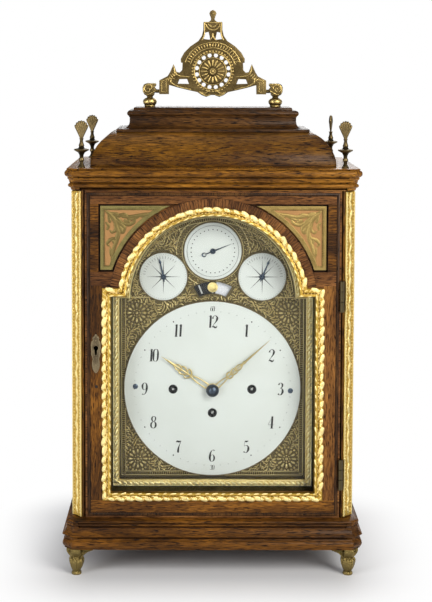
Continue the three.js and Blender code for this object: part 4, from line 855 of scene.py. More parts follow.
def door_moulding():
    """Round the glass: a hollow run under leaning scallops with crests, beads and a twist."""
    face = DOOR_FACE - 0.05 * MM
    run = profiled("moulding_run", moulding_outline, [
        (0.9, 0), (0.9, 1.0), (1.6, 1.9), (4.8, 2.0), (5.6, 1.2), (6.2, 1.2), (6.6, 2.6), (7.6, 3.2),
        (8.9, 3.0), (9.6, 1.8), (10, 0.6), (10, 0)], face)
    carving = [lobes_round("moulding_" + name, moulding_outline, inset * MM, pitch * MM, shape,
                           face - rise * MM, lean)
               for name, inset, pitch, shape, rise, lean in (
                   ("scallops", 3.3, 9.4, (13.6, 6.6, 1.5, 0.45), 1.3, -14),
                   ("crests", 3.0, 4.7, (5.2, 2.2, 2.1, 0.5, 8, 6), 1.2, 48),
                   ("beads", 6.4, 3.4, (2.1, 1.3, 0.8, 1.0, 6, 5), 1.3, 0),
                   ("twist", 8.2, 8.4, (8.8, 2.3, 0.8, 0.6, 8, 5), 2.7, 11))]
    coat(deep_gilding, run)
    coat(gilding, *carving)
    settle(joined("carved_door_moulding", [run] + carving), "front_door", None,
        "gilt_brass", "door_gilt_moulding")


def pilasters():
    """Carved strips on the canted corners: a chain of leaves between two fillets."""
    chance = random.Random(8)
    for side, name in ((-1, "left"), (1, "right")):
        low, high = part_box(name + "_pilaster")
        foot, top = low.z, high.z
        strips = []
        for x0, x1, rise in ((-6.7, 6.7, 1.2), (-6.6, -5.2, 1.9), (5.2, 6.6, 1.9)):
            strip = rectangle(x0 * MM, x1 * MM, foot, top)
            strips.append(plate(name + "_strip", strip, -rise * MM, rise * MM, 0.3))
        run = [(0, foot + 2 * MM), (0, top - 2 * MM)]
        leaves = repeated("leaves", lobe(11.5, 5.4, 1.8, 0.45), [
            (x + chance.uniform(-0.4, 0.4) * MM, -1.0 * MM, z,
             direction + chance.uniform(0.1, 0.32) * (-1) ** i, chance.uniform(0.85, 1.1))
            for i, (x, z, direction) in enumerate(along(run, 8.6 * MM, False))])
        studs = repeated("studs", lobe(1.6, 1.6, 0.7, 1.0, 6, 5), [
            (x + dx * MM, -1.1 * MM, z, 0, 1.0)
            for dx in (-4.2, 4.2) for x, z, _ in along(run, 3.3 * MM, False)])
        coat(deep_gilding, strips[0])
        coat(worn_gilding, strips[1], strips[2], leaves, studs)
        strip = joined(name + "_carved_pilaster", strips + [leaves, studs])
        middle = Vector((side * (BODY_HALF - CANT / 2), DOOR_FACE + CANT / 2, 0))
        outward = Vector((side, -1, 0)).normalized()
        turn = Matrix.Rotation(radians(45 * side), 4, "Z")
        strip.data.transform(Matrix.Translation(middle + outward * 0.3 * MM) @ turn)
        settle(strip, "case", None, "gilt_brass", name + "_pilaster")


def mask_gilding():
    """The gilt frame in the step of the mask, round the dial."""
    face = lows("dial_mask").y + 4 * MM

    def outline(inset):
        return break_arch(102.2 * MM - inset, DIAL_Z - 99.7 * MM + inset, ARCH_Z + 7.2 * MM - inset,
            91.2 * MM - inset)

    run = profiled("mask_run", outline, [(0, 0), (0, 2.6), (0.6, 3.2), (1.4, 3.0), (5.2, 2.0),
        (5.8, 2.6), (6.5, 2.2), (6.9, 1.0), (6.9, 0)], face)
    leaves = lobes_round("mask_leaves", outline, 3.3 * MM, 5.6 * MM, (7.6, 4.8, 2.4, 0.4), face - 2.2 * MM,
        -28)
    settle(joined("gilt_mask_frame", [run, leaves]), "case", cream_gilding, "gilt_brass")


case_pieces()
door_moulding()
pilasters()
mask_gilding()


# ------------------------------------------------------------------ dial markings

ENAMEL_FACE = lows("main_dial").y
ENAMEL_RADIUS = 91 * MM
ENAMEL_DOME = 3 * MM
DOME_RADIUS = (ENAMEL_RADIUS ** 2 + ENAMEL_DOME ** 2) / (2 * ENAMEL_DOME)
SMALL_FACE = lows("date_dial").y
DATE_RADIUS = 30  # of the small dials, in mm
SIDE_RADIUS = 25
DATE_PLACE = (0, DIAL_Z + 142.7 * MM)
STRIKE_PLACE = (-50.6 * MM, DIAL_Z + 116.3 * MM)
REPEAT_PLACE = (50.6 * MM, DIAL_Z + 116.3 * MM)
NUMERAL_RING = 70
DOT_RING = 80.4
WINDING_PLACES = (
    ("strike", -40.5 * MM, DIAL_Z), ("going", 0.0, DIAL_Z - 24.5 * MM), ("quarter", 40.5 * MM, DIAL_Z))


def enamel_front(x, z):
    reach = (x - DIAL_X) ** 2 + (z - DIAL_Z) ** 2
    return ENAMEL_FACE + DOME_RADIUS - sqrt(DOME_RADIUS ** 2 - reach)


# Strokes of plain numerals with thick uprights and hair lines: (x, z, width) in mm.
NUMERALS = {
    "0": [([(0, 6.3, 0.4), (-1.9, 4.9, 1.2), (-2.3, 0, 1.8), (-1.9, -4.9, 1.2), (0, -6.3, 0.4),
            (1.9, -4.9, 1.2), (2.3, 0, 1.8), (1.9, 4.9, 1.2)], True)],
    "1": [([(0, 6.4, 1.8), (0, -6.2, 1.8)], False), ([(-1.7, -6.3, 0.35), (1.7, -6.3, 0.35)], False),
          ([(-1.8, 5.0, 0.3), (0.2, 6.2, 0.6)], False)],
    "2": [([(-2.2, 3.2, 1.7), (-1.9, 4.8, 0.8), (0, 6.3, 0.5), (2.0, 4.8, 1.3), (2.3, 2.9, 1.9),
            (1.3, 0.2, 1.1), (-1.0, -3.0, 0.5), (-2.6, -5.9, 0.5)], False),
          ([(-2.6, -5.6, 0.5), (-1.3, -5.0, 1.2), (0.7, -6.0, 1.6), (2.2, -5.4, 0.9),
            (2.6, -4.2, 0.35)], False)],
    "3": [([(-2.1, 4.4, 1.6), (-0.9, 6.0, 0.6), (0.6, 6.2, 0.6), (1.9, 4.4, 1.6), (1.4, 1.9, 1.0),
            (-0.3, 0.9, 0.35)], False),
          ([(-0.3, 0.9, 0.35), (1.8, 0.0, 1.1), (2.5, -2.6, 2.0), (1.5, -5.4, 1.2), (-0.5, -6.3, 0.5),
            (-2.1, -4.9, 1.6)], False)],
    "4": [([(1.0, 6.4, 1.8), (1.0, -6.2, 1.8)], False), ([(1.0, 6.2, 0.35), (-3.0, -2.4, 0.35)], False),
          ([(-3.0, -2.4, 0.4), (3.0, -2.4, 0.4)], False), ([(-0.7, -6.3, 0.35), (2.7, -6.3, 0.35)], False)],
    "5": [([(-1.7, 5.9, 1.2), (0.2, 5.7, 1.5), (2.0, 6.4, 0.4)], False),
          ([(-1.8, 5.9, 0.35), (-1.9, 0.9, 0.35)], False),
          ([(-1.9, 0.7, 0.35), (0.3, 1.6, 0.6), (2.2, -0.2, 1.5), (2.4, -2.9, 2.0), (1.3, -5.5, 1.1),
            (-0.6, -6.3, 0.5), (-2.2, -5.0, 1.6)], False)],
    "6": [([(1.9, 5.2, 1.3), (0.5, 6.3, 0.5), (-1.6, 4.0, 1.1), (-2.4, -0.8, 1.9), (-1.8, -4.8, 1.3),
            (0, -6.3, 0.4), (1.9, -4.6, 1.3), (2.2, -2.2, 1.7), (1.5, 0.2, 1.0), (0, 1.0, 0.4),
            (-1.9, -0.4, 0.4)], False)],
    "7": [([(-2.6, 4.6, 0.5), (-1.7, 5.9, 1.3), (0.4, 5.4, 1.7), (2.6, 6.3, 0.5)], False),
          ([(2.6, 6.3, 0.4), (0.9, 1.4, 0.8), (0.0, -3.0, 1.7), (0.1, -6.2, 1.9)], False)],
    "8": [([(0, 6.3, 0.5), (-1.7, 5.0, 1.3), (-1.7, 2.4, 1.4), (0, 0.9, 0.5), (1.7, 2.4, 1.1),
            (1.7, 5.0, 1.1)], True),
          ([(0, 0.9, 0.5), (-2.2, -1.2, 1.4), (-2.2, -4.6, 1.4), (0, -6.3, 0.5), (2.2, -4.6, 1.6),
            (2.2, -1.2, 1.6)], True)],
}


def numeral_strokes(number, x, z, size=1.0):
    """The strokes of a number centred at x, z in metres, leaning a little to the right."""
    strokes = []
    for i, digit in enumerate(number):
        flip = digit == "9"
        for points, closed in NUMERALS["6" if flip else digit]:
            chain = flowing([(-px, -pz, w) if flip else (px, pz, w) for px, pz, w in points], closed, 4)
            shift = (i - (len(number) - 1) / 2) * (4.4 if "1" in number[:1] else 5.4)
            strokes.append(placed([(px + shift + 0.06 * pz, pz, w * 1.28 if w > 0.7 else w)
                for px, pz, w in chain], x, z, 0, size))
    return strokes


def dots_round(name, x, z, radius, count, size, height=0.12, skip=()):
    """Painted dots round a centre, sizes in mm."""
    return repeated(name, lobe(size, size, height, 1.0, 8, 6), [
        (x + radius * MM * sin(2 * pi * i / count), 0, z + radius * MM * cos(2 * pi * i / count), 0, 1)
        for i in range(count) if i not in skip])


def main_dial_markings():
    """The hours, the dots of the minutes, the brass edge and the two screws of the dial."""
    strokes = []
    for hour in range(1, 13):
        turn = radians(30 * hour)
        strokes += numeral_strokes(str(hour), NUMERAL_RING * MM * sin(turn),
            DIAL_Z + NUMERAL_RING * MM * cos(turn))
    strokes += numeral_strokes("60", 0, DIAL_Z + 83.2 * MM, 0.4)
    strokes += numeral_strokes("30", 0, DIAL_Z - 82.4 * MM, 0.4)
    figures = drape(wires("dial_figures", strokes, 0.0, 0.12, 1), enamel_front)
    settle(figures, "case", black_paint, "dial_enamel")
    fives = dots_round("five_minute_dots", 0, DIAL_Z, DOT_RING, 12, 1.5, skip=(0, 6))
    settle(drape(fives, enamel_front), "case", black_paint, "dial_enamel")
    minutes = dots_round("minute_dots", 0, DIAL_Z, DOT_RING, 60, 0.75, skip=tuple(range(0, 60, 5)))
    settle(drape(minutes, enamel_front), "case", grey_paint, "dial_enamel")
    # The edge is a thin ring of tarnished brass that also stands for the shadow in the gap round the enamel,
    # as painted shade.
    edge = wires("dial_edge", [placed(closed_ring(91.1, 1.0, 96), 0, DIAL_Z)], ENAMEL_FACE + 2.9 * MM, 0.9)
    settle(edge, "case", dull_brass, "dial_brass")
    for side, x, z in (("left", -79.3, 2.4), ("right", 80.3, -2.0)):
        place = (x * MM, enamel_front(x * MM, DIAL_Z + z * MM), DIAL_Z + z * MM)
        head = turned(side + "_dial_screw", [(0, -1.1), (1.6, -1.0), (2.6, -0.5), (2.8, 0.2), (0, 0.3)],
            place, 20, "Y")
        slot = plate("slot",
            rectangle(place[0] - 3 * MM, place[0] + 3 * MM, place[2] - 0.3 * MM, place[2] + 0.3 * MM),
            place[1] - 1.5 * MM, 0.9 * MM)
        settle(carve(head, slot), "case", blued_steel, "polished_steel")


def small_dial_markings():
    """Dots, stars and ticks of the three small dials, and their brass edges."""
    front = SMALL_FACE - 0.02 * MM

    def flat_front(x, z):
        return front

    x, z = DATE_PLACE
    settle(drape(dots_round("date_dots", x, z, 22.3, 31, 1.25), flat_front), "case", grey_paint,
        "dial_enamel")
    ring = wires("date_ring", [placed(closed_ring(26.4, 0.35, 72), x, z)], front, 0.3, 1)
    settle(ring, "case", grey_paint, "dial_enamel")
    for name, (x, z), marks in (("strike", STRIKE_PLACE, range(-82, 40, 8)),
            ("repeat", REPEAT_PLACE, range(-48, 96, 8))):
        rays = [placed([(0, 2.6, 1.5), (0, 8, 0.75), (0, 17.2, 0.1)], x, z, 45 * i) for i in range(8)]
        settle(wires(name + "_star", rays, front, 0.12, 1), "case", grey_paint, "dial_enamel")
        ticks = [placed([(0, 18.6, 0.4), (0, 21.2, 0.4)], x, z, turn) for turn in marks]
        settle(wires(name + "_ticks", ticks, front, 0.2, 1), "case", grey_paint, "dial_enamel")
        dots = dots_round(name + "_edge_dots", x, z, 22.9, 60, 0.5)
        settle(drape(dots, flat_front), "case", grey_paint, "dial_enamel")
    for name, (x, z), radius in (("date", DATE_PLACE, DATE_RADIUS),
            ("strike", STRIKE_PLACE, SIDE_RADIUS), ("repeat", REPEAT_PLACE, SIDE_RADIUS)):
        edge = wires(name + "_dial_edge", [placed(closed_ring(radius - 0.1, 0.9, 72), x, z)],
            front + 0.5 * MM, 0.8)
        settle(edge, "case", dull_brass, "dial_brass")


def winding_collets():
    """Winding holes in the dial: a black ring round each on the enamel, and a black sleeve down to the
    movement as painted shade inside the hole.
    """
    for name, x, z in WINDING_PLACES:
        face = enamel_front(x, z)
        depth = (lows("movement_front_plate").y - face) / MM - 0.4
        collet = turned(name + "_collet", [(4.7, -0.3), (4.7, 0.1), (4.25, 0.1), (4.25, depth),
            (2.4, depth), (2.4, 1.6), (4.0, -0.3), (4.7, -0.3)], (x, face, z), 32, "Y")
        settle(collet, "case", black_paint, "dial_enamel")


WHEEL_TEETH = 72


def fusees():
    """Grooved cone on its great wheel, with a steel arbor and a small winding square."""
    for name, x, z in WINDING_PLACES:
        low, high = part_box(name + "_fusee")
        front, length = low.y, (high.y - low.y) / MM
        cone = [(0, 30.2), (8.4, 30.2), (9.0, 31.0)]
        for k in range(11):
            reach = 9.2 + 0.72 * k
            cone += [(reach, 31.4 + 2.5 * k), (reach - 0.9, 32.2 + 2.5 * k), (reach + 0.6, 33.4 + 2.5 * k)]
        cone += [(17.0, 60.6), (5.0, 60.8), (0, 60.8)]
        grooved = turned(name + "_cone", cone, (x, front, z), 40, "Y")
        rim = []
        for k in range(WHEEL_TEETH):
            for share, reach in ((0.0, 18.6), (0.28, 19.9), (0.52, 19.9), (0.8, 18.6)):
                turn = 2 * pi * (k + share) / WHEEL_TEETH
                rim.append((x + reach * MM * cos(turn), z + reach * MM * sin(turn)))
        wheel = plate(name + "_great_wheel", rim, front + 60.9 * MM, 2.5 * MM)
        hub = turned(name + "_hub", [(0, 63.3), (5.0, 63.3), (5.0, 74.8), (3.0, 75.2), (0, 75.2)],
            (x, front, z), 24, "Y")
        coat(bright_brass, grooved, wheel, hub)
        arbor = turned(name + "_arbor", [(0, 12.0), (2.6, 12.2), (3.0, 13.0), (3.0, 30.4), (0, 30.4)],
            (x, front, z), 20, "Y")
        pivot = turned(name + "_pivot", [(0, 75.0), (2.1, 75.0), (2.1, length - 0.4), (1.7, length),
            (0, length)], (x, front, z), 16, "Y")
        half = 1.15 * MM
        square = plate(name + "_square", rectangle(x - half, x + half, z - half, z + half),
            front + 3.6 * MM, 9 * MM, 0.25)
        coat(grey_steel, arbor, pivot, square)
        settle(joined(name + "_wound_fusee", [grooved, wheel, hub, arbor, pivot, square]), name + "_fusee",
            None, "movement_brass", name + "_fusee")


def aperture_ground():
    """Behind the slot: a black half as painted shade with a steel streak as a painted highlight, and a white
    half as a painted reflection.
    """
    y = lows("verge_arbor").y + 0.1 * MM
    for name, start, end, finish in (("aperture_painted_shade", 126, 84, black_paint),
            ("aperture_painted_reflection", 84, 54, white_painted_reflection)):
        steps = (start - end) // 3
        band = arc(0, VERGE_Z, 41 * MM, start, end, steps) + arc(0, VERGE_Z, 22 * MM, end, start, steps)
        settle(plate(name, band, y, 0.6 * MM), "case", finish, "dial_brass")
    streak = [placed([(0, 27.5, 1.6), (0, 37, 1.6)], 0, VERGE_Z, -23)]
    settle(wires("aperture_painted_highlight", streak, y, 0.2), "case", grey_steel, "dial_brass")


# ------------------------------------------------------------------ hands

def mirrored(chain):
    return [(-x, z, w) for x, z, w in chain]


def both_sides(*chains):
    return [c for chain in chains for c in (chain, mirrored(chain))]


def gilt_hand(name, strokes, turn, boss, spear):
    """An openwork hand: drawn lines, a boss with a collet and a slender tip."""
    low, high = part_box(name)
    y = low.y + 0.55 * MM
    lines = wires(name + "_lines", [placed([(u, v, w * 1.3) for u, v, w in chain], 0, DIAL_Z, turn)
        for chain in strokes + [spear]], y, 0.6)
    depth = (high.y - low.y) / MM
    middle = turned(name + "_boss", [(2.6, 0), (boss - 1.2, 0), (boss, 0.4), (boss, 1.1), (3.6, 1.3),
        (3.6, depth), (2.6, depth), (2.6, 0)], (0, low.y, DIAL_Z), 32, "Y")
    piece = joined(name + "_openwork", [lines, middle])
    settle(piece, name, hand_brass, "gilt_brass", name)


def hands():
    """The hour hand, the minute hand, and the domed nut that holds them."""
    lower = flowing([(2.3, 5.5, 1.2), (2.5, 12, 1.0), (2.2, 19, 1.0), (1.2, 24, 1.1), (0, 27.5, 1.2)])
    wing = flowing([(0, 26.5, 1.3), (2.6, 27.2, 1.4), (4.9, 30.2, 1.1), (4.2, 32.2, 0.9), (2.4, 31.6, 0.8)])
    leaf = flowing([(0, 29.5, 1.0), (2.4, 33, 1.1), (4.0, 36.4, 1.3), (3.1, 39.6, 1.0), (1.4, 38.4, 0.8)])
    upper = flowing([(0, 37.5, 1.0), (2.2, 40.2, 1.1), (2.6, 43.2, 1.1), (1.2, 45.8, 1.0), (0, 48.5, 1.2)])
    gilt_hand("hour_hand", both_sides(lower, wing, leaf, upper) + [[(0, 27, 1.2), (0, 48, 1.0)]], -56.8, 6.6,
              [(0, 47, 2.2), (0, 50.5, 1.8), (0, 56, 1.1), (0, 63, 0.15)])
    lower = flowing([(2.1, 5.5, 1.1), (2.0, 11, 0.9), (1.4, 17, 0.9), (0, 21, 1.1)])
    first = flowing([(0, 19.5, 1.0), (2.7, 22.0, 1.3), (2.9, 25.2, 1.0), (1.2, 25.6, 0.8)])
    second = flowing([(0, 24.5, 1.0), (2.3, 28.0, 1.2), (2.6, 31.4, 1.0), (1.0, 31.8, 0.8)])
    third = flowing([(0, 30.5, 1.0), (2.0, 33.6, 1.1), (2.2, 37.0, 1.0), (0, 41.5, 1.0)])
    gilt_hand("minute_hand", both_sides(lower, first, second, third) + [[(0, 20, 1.0), (0, 42, 0.9)]], 48.4,
        6.4, [(0, 41, 1.2), (0, 43.4, 2.6), (0, 45.4, 1.7), (0, 52, 1.5), (0, 64, 0.9), (0, 78.5, 0.15)])
    low = lows("hand_nut")
    nut = turned("domed_nut", [(0, 0), (1.6, 0.12), (3.6, 0.9), (5.3, 2.3), (6.4, 4.2), (6.7, 5.6),
        (6.4, 6.4), (0, 6.5)], (0, low.y, DIAL_Z), 40, "Y")
    squeeze = (highs("hand_nut").y - low.y) / (6.5 * MM)
    nut.data.transform(Matrix.Translation((0, low.y * (1 - squeeze), 0))
        @ Matrix.Diagonal((1, squeeze, 1, 1)))
    settle(nut, "minute_hand", blued_steel, "blued_steel", "hand_nut")


def blued_hand(name, place, turn, strokes):
    """A small hand of blued steel: drawn lines on a boss with a pin in it."""
    low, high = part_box(name)
    x, z = place
    y = low.y + 0.5 * MM
    depth = (high.y - low.y) / MM
    lines = wires(name + "_lines", [placed(chain, x, z, turn) for chain in strokes], y, 0.8)
    boss = turned(name + "_boss", [(0.9, 0), (2.4, 0), (2.9, 0.4), (2.9, 1.0), (1.5, 1.2), (1.5, depth),
        (0, depth), (0, -0.3), (0.8, -0.3), (0.9, 0)], (x, low.y, z), 24, "Y")
    settle(joined(name + "_blued", [lines, boss]), name, blued_steel, "blued_steel", name)


def small_hands():
    crescent = [(1.9 * sin(t / 10), -9.6 - 1.9 * cos(t / 10), 0.9 + 0.3 * cos(t / 10))
                for t in range(-27, 28, 3)]
    blued_hand("date_hand", DATE_PLACE, 68, [
        [(0, 2, 1.9), (0, 6, 1.3), (0, 12, 0.8), (0, 20.5, 0.15)], [(0, -2, 1.0), (0, -8, 1.0)], crescent])
    for name, place, turn in (("strike_hand", STRIKE_PLACE, -12.4), ("repeat_hand", REPEAT_PLACE, 22.6)):
        blued_hand(name, place, turn, [[(0, -5.4, 0.4), (0, -2.5, 1.6)],
            [(0, 2, 1.9), (0, 9, 1.5), (0, 13.5, 1.1), (0, 15.5, 2.6), (0, 16.8, 1.6), (0, 19.5, 0.2)]])


main_dial_markings()
small_dial_markings()
winding_collets()
fusees()
aperture_ground()
hands()
small_hands()


# ------------------------------------------------------------------ mock pendulum

def mock_pendulum():
    """Verge arbor between the plates, with an arm and a gilt disc that swings in the slot."""
    low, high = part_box("verge_arbor")
    disc_z = high.z - 5.5 * MM
    face = low.y - 0.65 * MM
    length = (high.y - face) / MM
    arbor = turned("arbor", [(0, 0), (1.0, 0), (1.2, 0.4), (1.2, 4), (1.9, 5), (1.9, length - 4),
        (1.2, length - 3), (1.0, length), (0, length)], (0, face, VERGE_Z), 20, "Y")
    settle(arbor, "pendulum", grey_steel, "polished_steel", "verge_arbor")
    arm = wires("mock_arm", [[(0, VERGE_Z, 1.8), (0, disc_z, 1.2)]], face + 0.3 * MM, 0.3)
    settle(arm, "pendulum", grey_steel, "polished_steel")
    disc = turned("mock_disc", [(0, -0.35), (2.4, -0.3), (3.0, -0.05), (4.4, -0.15), (5.3, 0.1), (5.3, 0.5),
        (0, 0.5)], (0, face, disc_z), 36, "Y")
    settle(disc, "pendulum", gilding, "gilt_brass")


# ------------------------------------------------------------------ door veneers

DOOR_HALF = DOOR_HIGH.x
DOOR_FOOT = DOOR_LOW.z
DOOR_TOP = DOOR_HIGH.z
BEAD_EDGE = 5.2 * MM
VENEER = 0.5 * MM
RECESS_ARCH = 104.7 * MM
SPANDREL_HALF = highs("right_spandrel").x
SPANDREL_FOOT = lows("right_spandrel").z
SPANDREL_HEAD = highs("right_spandrel").z
RECESS_GAP = 1.8 * MM
LAP = 1.2 * MM  # how far the veneers reach under the moulding


def arch_run(radius, from_z, to_z, side=1, steps=24):
    """Points of the arch between two heights on one side."""
    start = asin((from_z - ARCH_Z) / radius)
    end = asin((to_z - ARCH_Z) / radius)
    turns = [start + (end - start) * i / steps for i in range(steps + 1)]
    return [(side * radius * cos(t), ARCH_Z + radius * sin(t)) for t in turns]


def veneer(name, outline, finish, proud=VENEER):
    piece = plate(name, outline, DOOR_FACE - proud, proud, 0.18)
    return settle(piece, "front_door", finish, "door_wood")


def door_veneers():
    """Veneers of the rails, the stiles and the arch, and the dark bead round the door."""
    outer = DOOR_HALF - BEAD_EDGE
    top, foot = DOOR_TOP - BEAD_EDGE, DOOR_FOOT + BEAD_EDGE
    recess_top, recess_foot = SPANDREL_HEAD + RECESS_GAP, SPANDREL_FOOT - RECESS_GAP
    stile_inner = SPANDREL_HALF + RECESS_GAP
    sill = MOULDING_SHOULDER + 1.5 * MM
    rail_foot = MOULDING_FOOT + LAP
    spring = degrees(asin((recess_top - ARCH_Z) / RECESS_ARCH))
    crown = arc(0, ARCH_Z, RECESS_ARCH + 0.2 * MM, spring, 180 - spring, 24)
    veneer("top_rail_veneer", [(-outer, top), (-outer, recess_top)] + crown[::-1]
        + [(outer, recess_top), (outer, top)], rail_wood)
    veneer("bottom_rail_veneer", rectangle(-outer, outer, foot, rail_foot), base_rail_wood)
    band_foot = degrees(asin((sill - ARCH_Z) / RECESS_ARCH))
    outside = arc(0, ARCH_Z, RECESS_ARCH, band_foot, 180 - band_foot, 60)
    inside = arc(0, ARCH_Z, MOULDING_ARCH - 1.5 * MM, 180 - band_foot, band_foot, 60)
    veneer("arch_veneer", outside + inside, arch_wood, 0.9 * MM)
    for side, name in ((-1, "left"), (1, "right")):
        veneer(name + "_upper_stile_veneer",
            rectangle(side * stile_inner, side * outer, recess_foot, recess_top), cross_wood)
        veneer(name + "_block_veneer", [(side * outer, sill), (side * outer, recess_foot)]
            + arch_run(RECESS_ARCH + 0.2 * MM, recess_foot, sill, side, 8), rail_wood)
        veneer(name + "_lower_stile_veneer",
            rectangle(side * (MOULDING_HALF - LAP), side * outer, rail_foot, sill),
            stile_wood if side < 0 else right_stile_wood_in_painted_light)

    def rim(inset):
        return rectangle(inset - DOOR_HALF, DOOR_HALF - inset, DOOR_FOOT + inset, DOOR_TOP - inset)

    bead = profiled("door_bead", rim, [(1.9, -0.1), (1.9, 0.5), (2.4, 1.1), (3.4, 1.5), (4.4, 1.1),
        (4.9, 0.5), (5.2, 0.3), (5.2, -0.1)], DOOR_FACE)
    settle(bead, "front_door", bead_wood, "door_wood")


def corner_plates():
    """Two openwork corner plates over copper: a plain border and leaf scrolls from the corner."""
    def outline(side, inset):
        half, foot, head = SPANDREL_HALF - inset, SPANDREL_FOOT + inset, SPANDREL_HEAD - inset
        arch = arch_run(106.5 * MM + inset, foot, head, side, 28)
        return [(side * half, head), (side * half, foot)] + arch

    back = highs("right_spandrel").y
    # The two plates are lit and shaded copies: the left in darker olive brass as painted shade, the right in
    # warmer, brighter brass as painted light.
    for side, name, finish, border_finish in ((-1, "left", left_spandrel_brass_in_painted_shade, olive_brass),
            (1, "right", right_spandrel_brass_in_painted_light, right_spandrel_brass_in_painted_light)):
        border = plate(name + "_corner_border", outline(side, 0), back - 1.85 * MM, 1.85 * MM)
        window = plate(name + "_corner_window", outline(side, 4.4 * MM), back - 4 * MM, 6 * MM)
        rounded(carve(border, window), 0.4)
        settle(border, "front_door", border_finish, "cast_brass", name + "_spandrel")
        ground = plate(name + "_corner_ground", outline(side, 4.3 * MM), back - 0.9 * MM, 0.8 * MM)
        settle(ground, "front_door", copper, "cast_brass")
        corner_x, corner_z = SPANDREL_HALF - 4.6 * MM, SPANDREL_HEAD - 4.6 * MM

        def at(chain):
            return placed([(-u * side, -v, w) for u, v, w in chain], side * corner_x, corner_z)

        stems = [
            flowing([(0.5, 0.5, 1.2), (6, 5, 2.8), (10.5, 12, 2.6), (11, 19, 2.2), (7.5, 22.5, 1.6),
                (5.2, 20.2, 1.2)]),
            flowing([(10, 14, 2.0), (13.5, 22, 2.6), (12, 31, 2.4), (9, 38, 2.4), (7.5, 46, 1.8),
                (6.2, 54, 0.8)]),
            flowing([(5, 3.5, 2.2), (13, 5.5, 2.4), (20, 4.5, 2.2), (24, 8.5, 1.8), (21.5, 11.5, 1.2),
                (19, 9.8, 1.0)]),
            flowing([(17, 6, 2.0), (26, 6.6, 2.4), (34, 5.2, 2.2), (43, 3.6, 1.8), (54, 2.0, 0.8)]),
            flowing([(8, 8, 2.0), (15, 13, 2.6), (19.5, 17.5, 2.4), (18, 22.5, 1.8), (14.5, 21.5, 1.2)]),
            flowing([(15, 12, 2.0), (23, 14.5, 2.4), (29, 12.2, 2.0), (30, 8.6, 1.4)]),
            flowing([(12.5, 28, 1.8), (6, 29.5, 2.2), (2.5, 33.5, 1.8), (4.8, 36, 1.2)]),
            flowing([(0.8, 12, 1.0), (3.6, 15.5, 2.0), (2.2, 20, 1.4)]),
        ]
        lines = wires(name + "_corner_stems", [at([(u, v, w * 1.65) for u, v, w in chain])
            for chain in stems], back - 1.0 * MM, 0.38)
        leaf_places = []
        for u, v, lean, size in ((9, 3.5, 10, 1.0), (30, 8.2, 165, 0.9), (38, 6.2, 8, 0.8),
                (16, 18.5, 60, 1.0), (23, 11, 30, 0.8), (12, 26, 100, 0.9), (6, 42, 80, 0.9),
                (9.5, 33, 240, 0.8), (4.2, 8, 75, 0.9), (13.5, 9.5, 45, 1.1)):
            direction = radians(-lean) if side < 0 else radians(180 + lean)
            leaf_places.append(
                (side * (corner_x - u * MM), back - 1.0 * MM, corner_z - v * MM, direction, size))
        leaves = repeated(name + "_corner_leaves", lobe(11.5, 5.6, 1.1, 0.35), leaf_places)
        settle(joined(name + "_corner_foliage", [lines, leaves]), "front_door", finish, "cast_brass")


# ------------------------------------------------------------------ dial plate relief

PLATE_HALF = 95 * MM
PLATE_FOOT = DIAL_Z - 92.5 * MM
PLATE_ARCH = 84 * MM
PLATE_SHOULDER = ARCH_Z + 0.5 * MM
SLOT_INNER, SLOT_OUTER = 26 * MM, 38.5 * MM
SLOT_HALF_TURN = 36
BORDER = 3.4 * MM  # middle of the beaded border, from the edge of the plate
CORNER_KNOTS = ((-77.0, -74.0), (77.0, -74.0), (-78.0, 78.5), (78.0, 78.5))


def plate_room(x, z):
    """How far a place on the dial plate is from the nearest edge or dial, in metres."""
    room = [PLATE_HALF - abs(x), z - PLATE_FOOT,
            hypot(x, z - DIAL_Z) - ENAMEL_RADIUS,
            dist((x, z), DATE_PLACE) - DATE_RADIUS * MM,
            dist((x, z), STRIKE_PLACE) - SIDE_RADIUS * MM,
            dist((x, z), REPEAT_PLACE) - SIDE_RADIUS * MM]
    if z > PLATE_SHOULDER:
        room.append(PLATE_ARCH - hypot(x, z - ARCH_Z))
    slot = hypot(x, z - VERGE_Z)
    turn = abs(degrees(atan2(x, z - VERGE_Z)))
    if turn < SLOT_HALF_TURN:
        room.append(max(slot - SLOT_OUTER, SLOT_INNER - slot))
    return min(room)


def clear_runs(points):
    """The stretches of a chain of (x, z) that lie clear of every edge and dial."""
    runs, run = [], []
    for x, z in points:
        if plate_room(x, z) > 0.6 * MM:
            run.append((x, z, 0.8))
        else:
            runs.append(run)
            run = []
    return [run for run in runs + [run] if len(run) > 1]


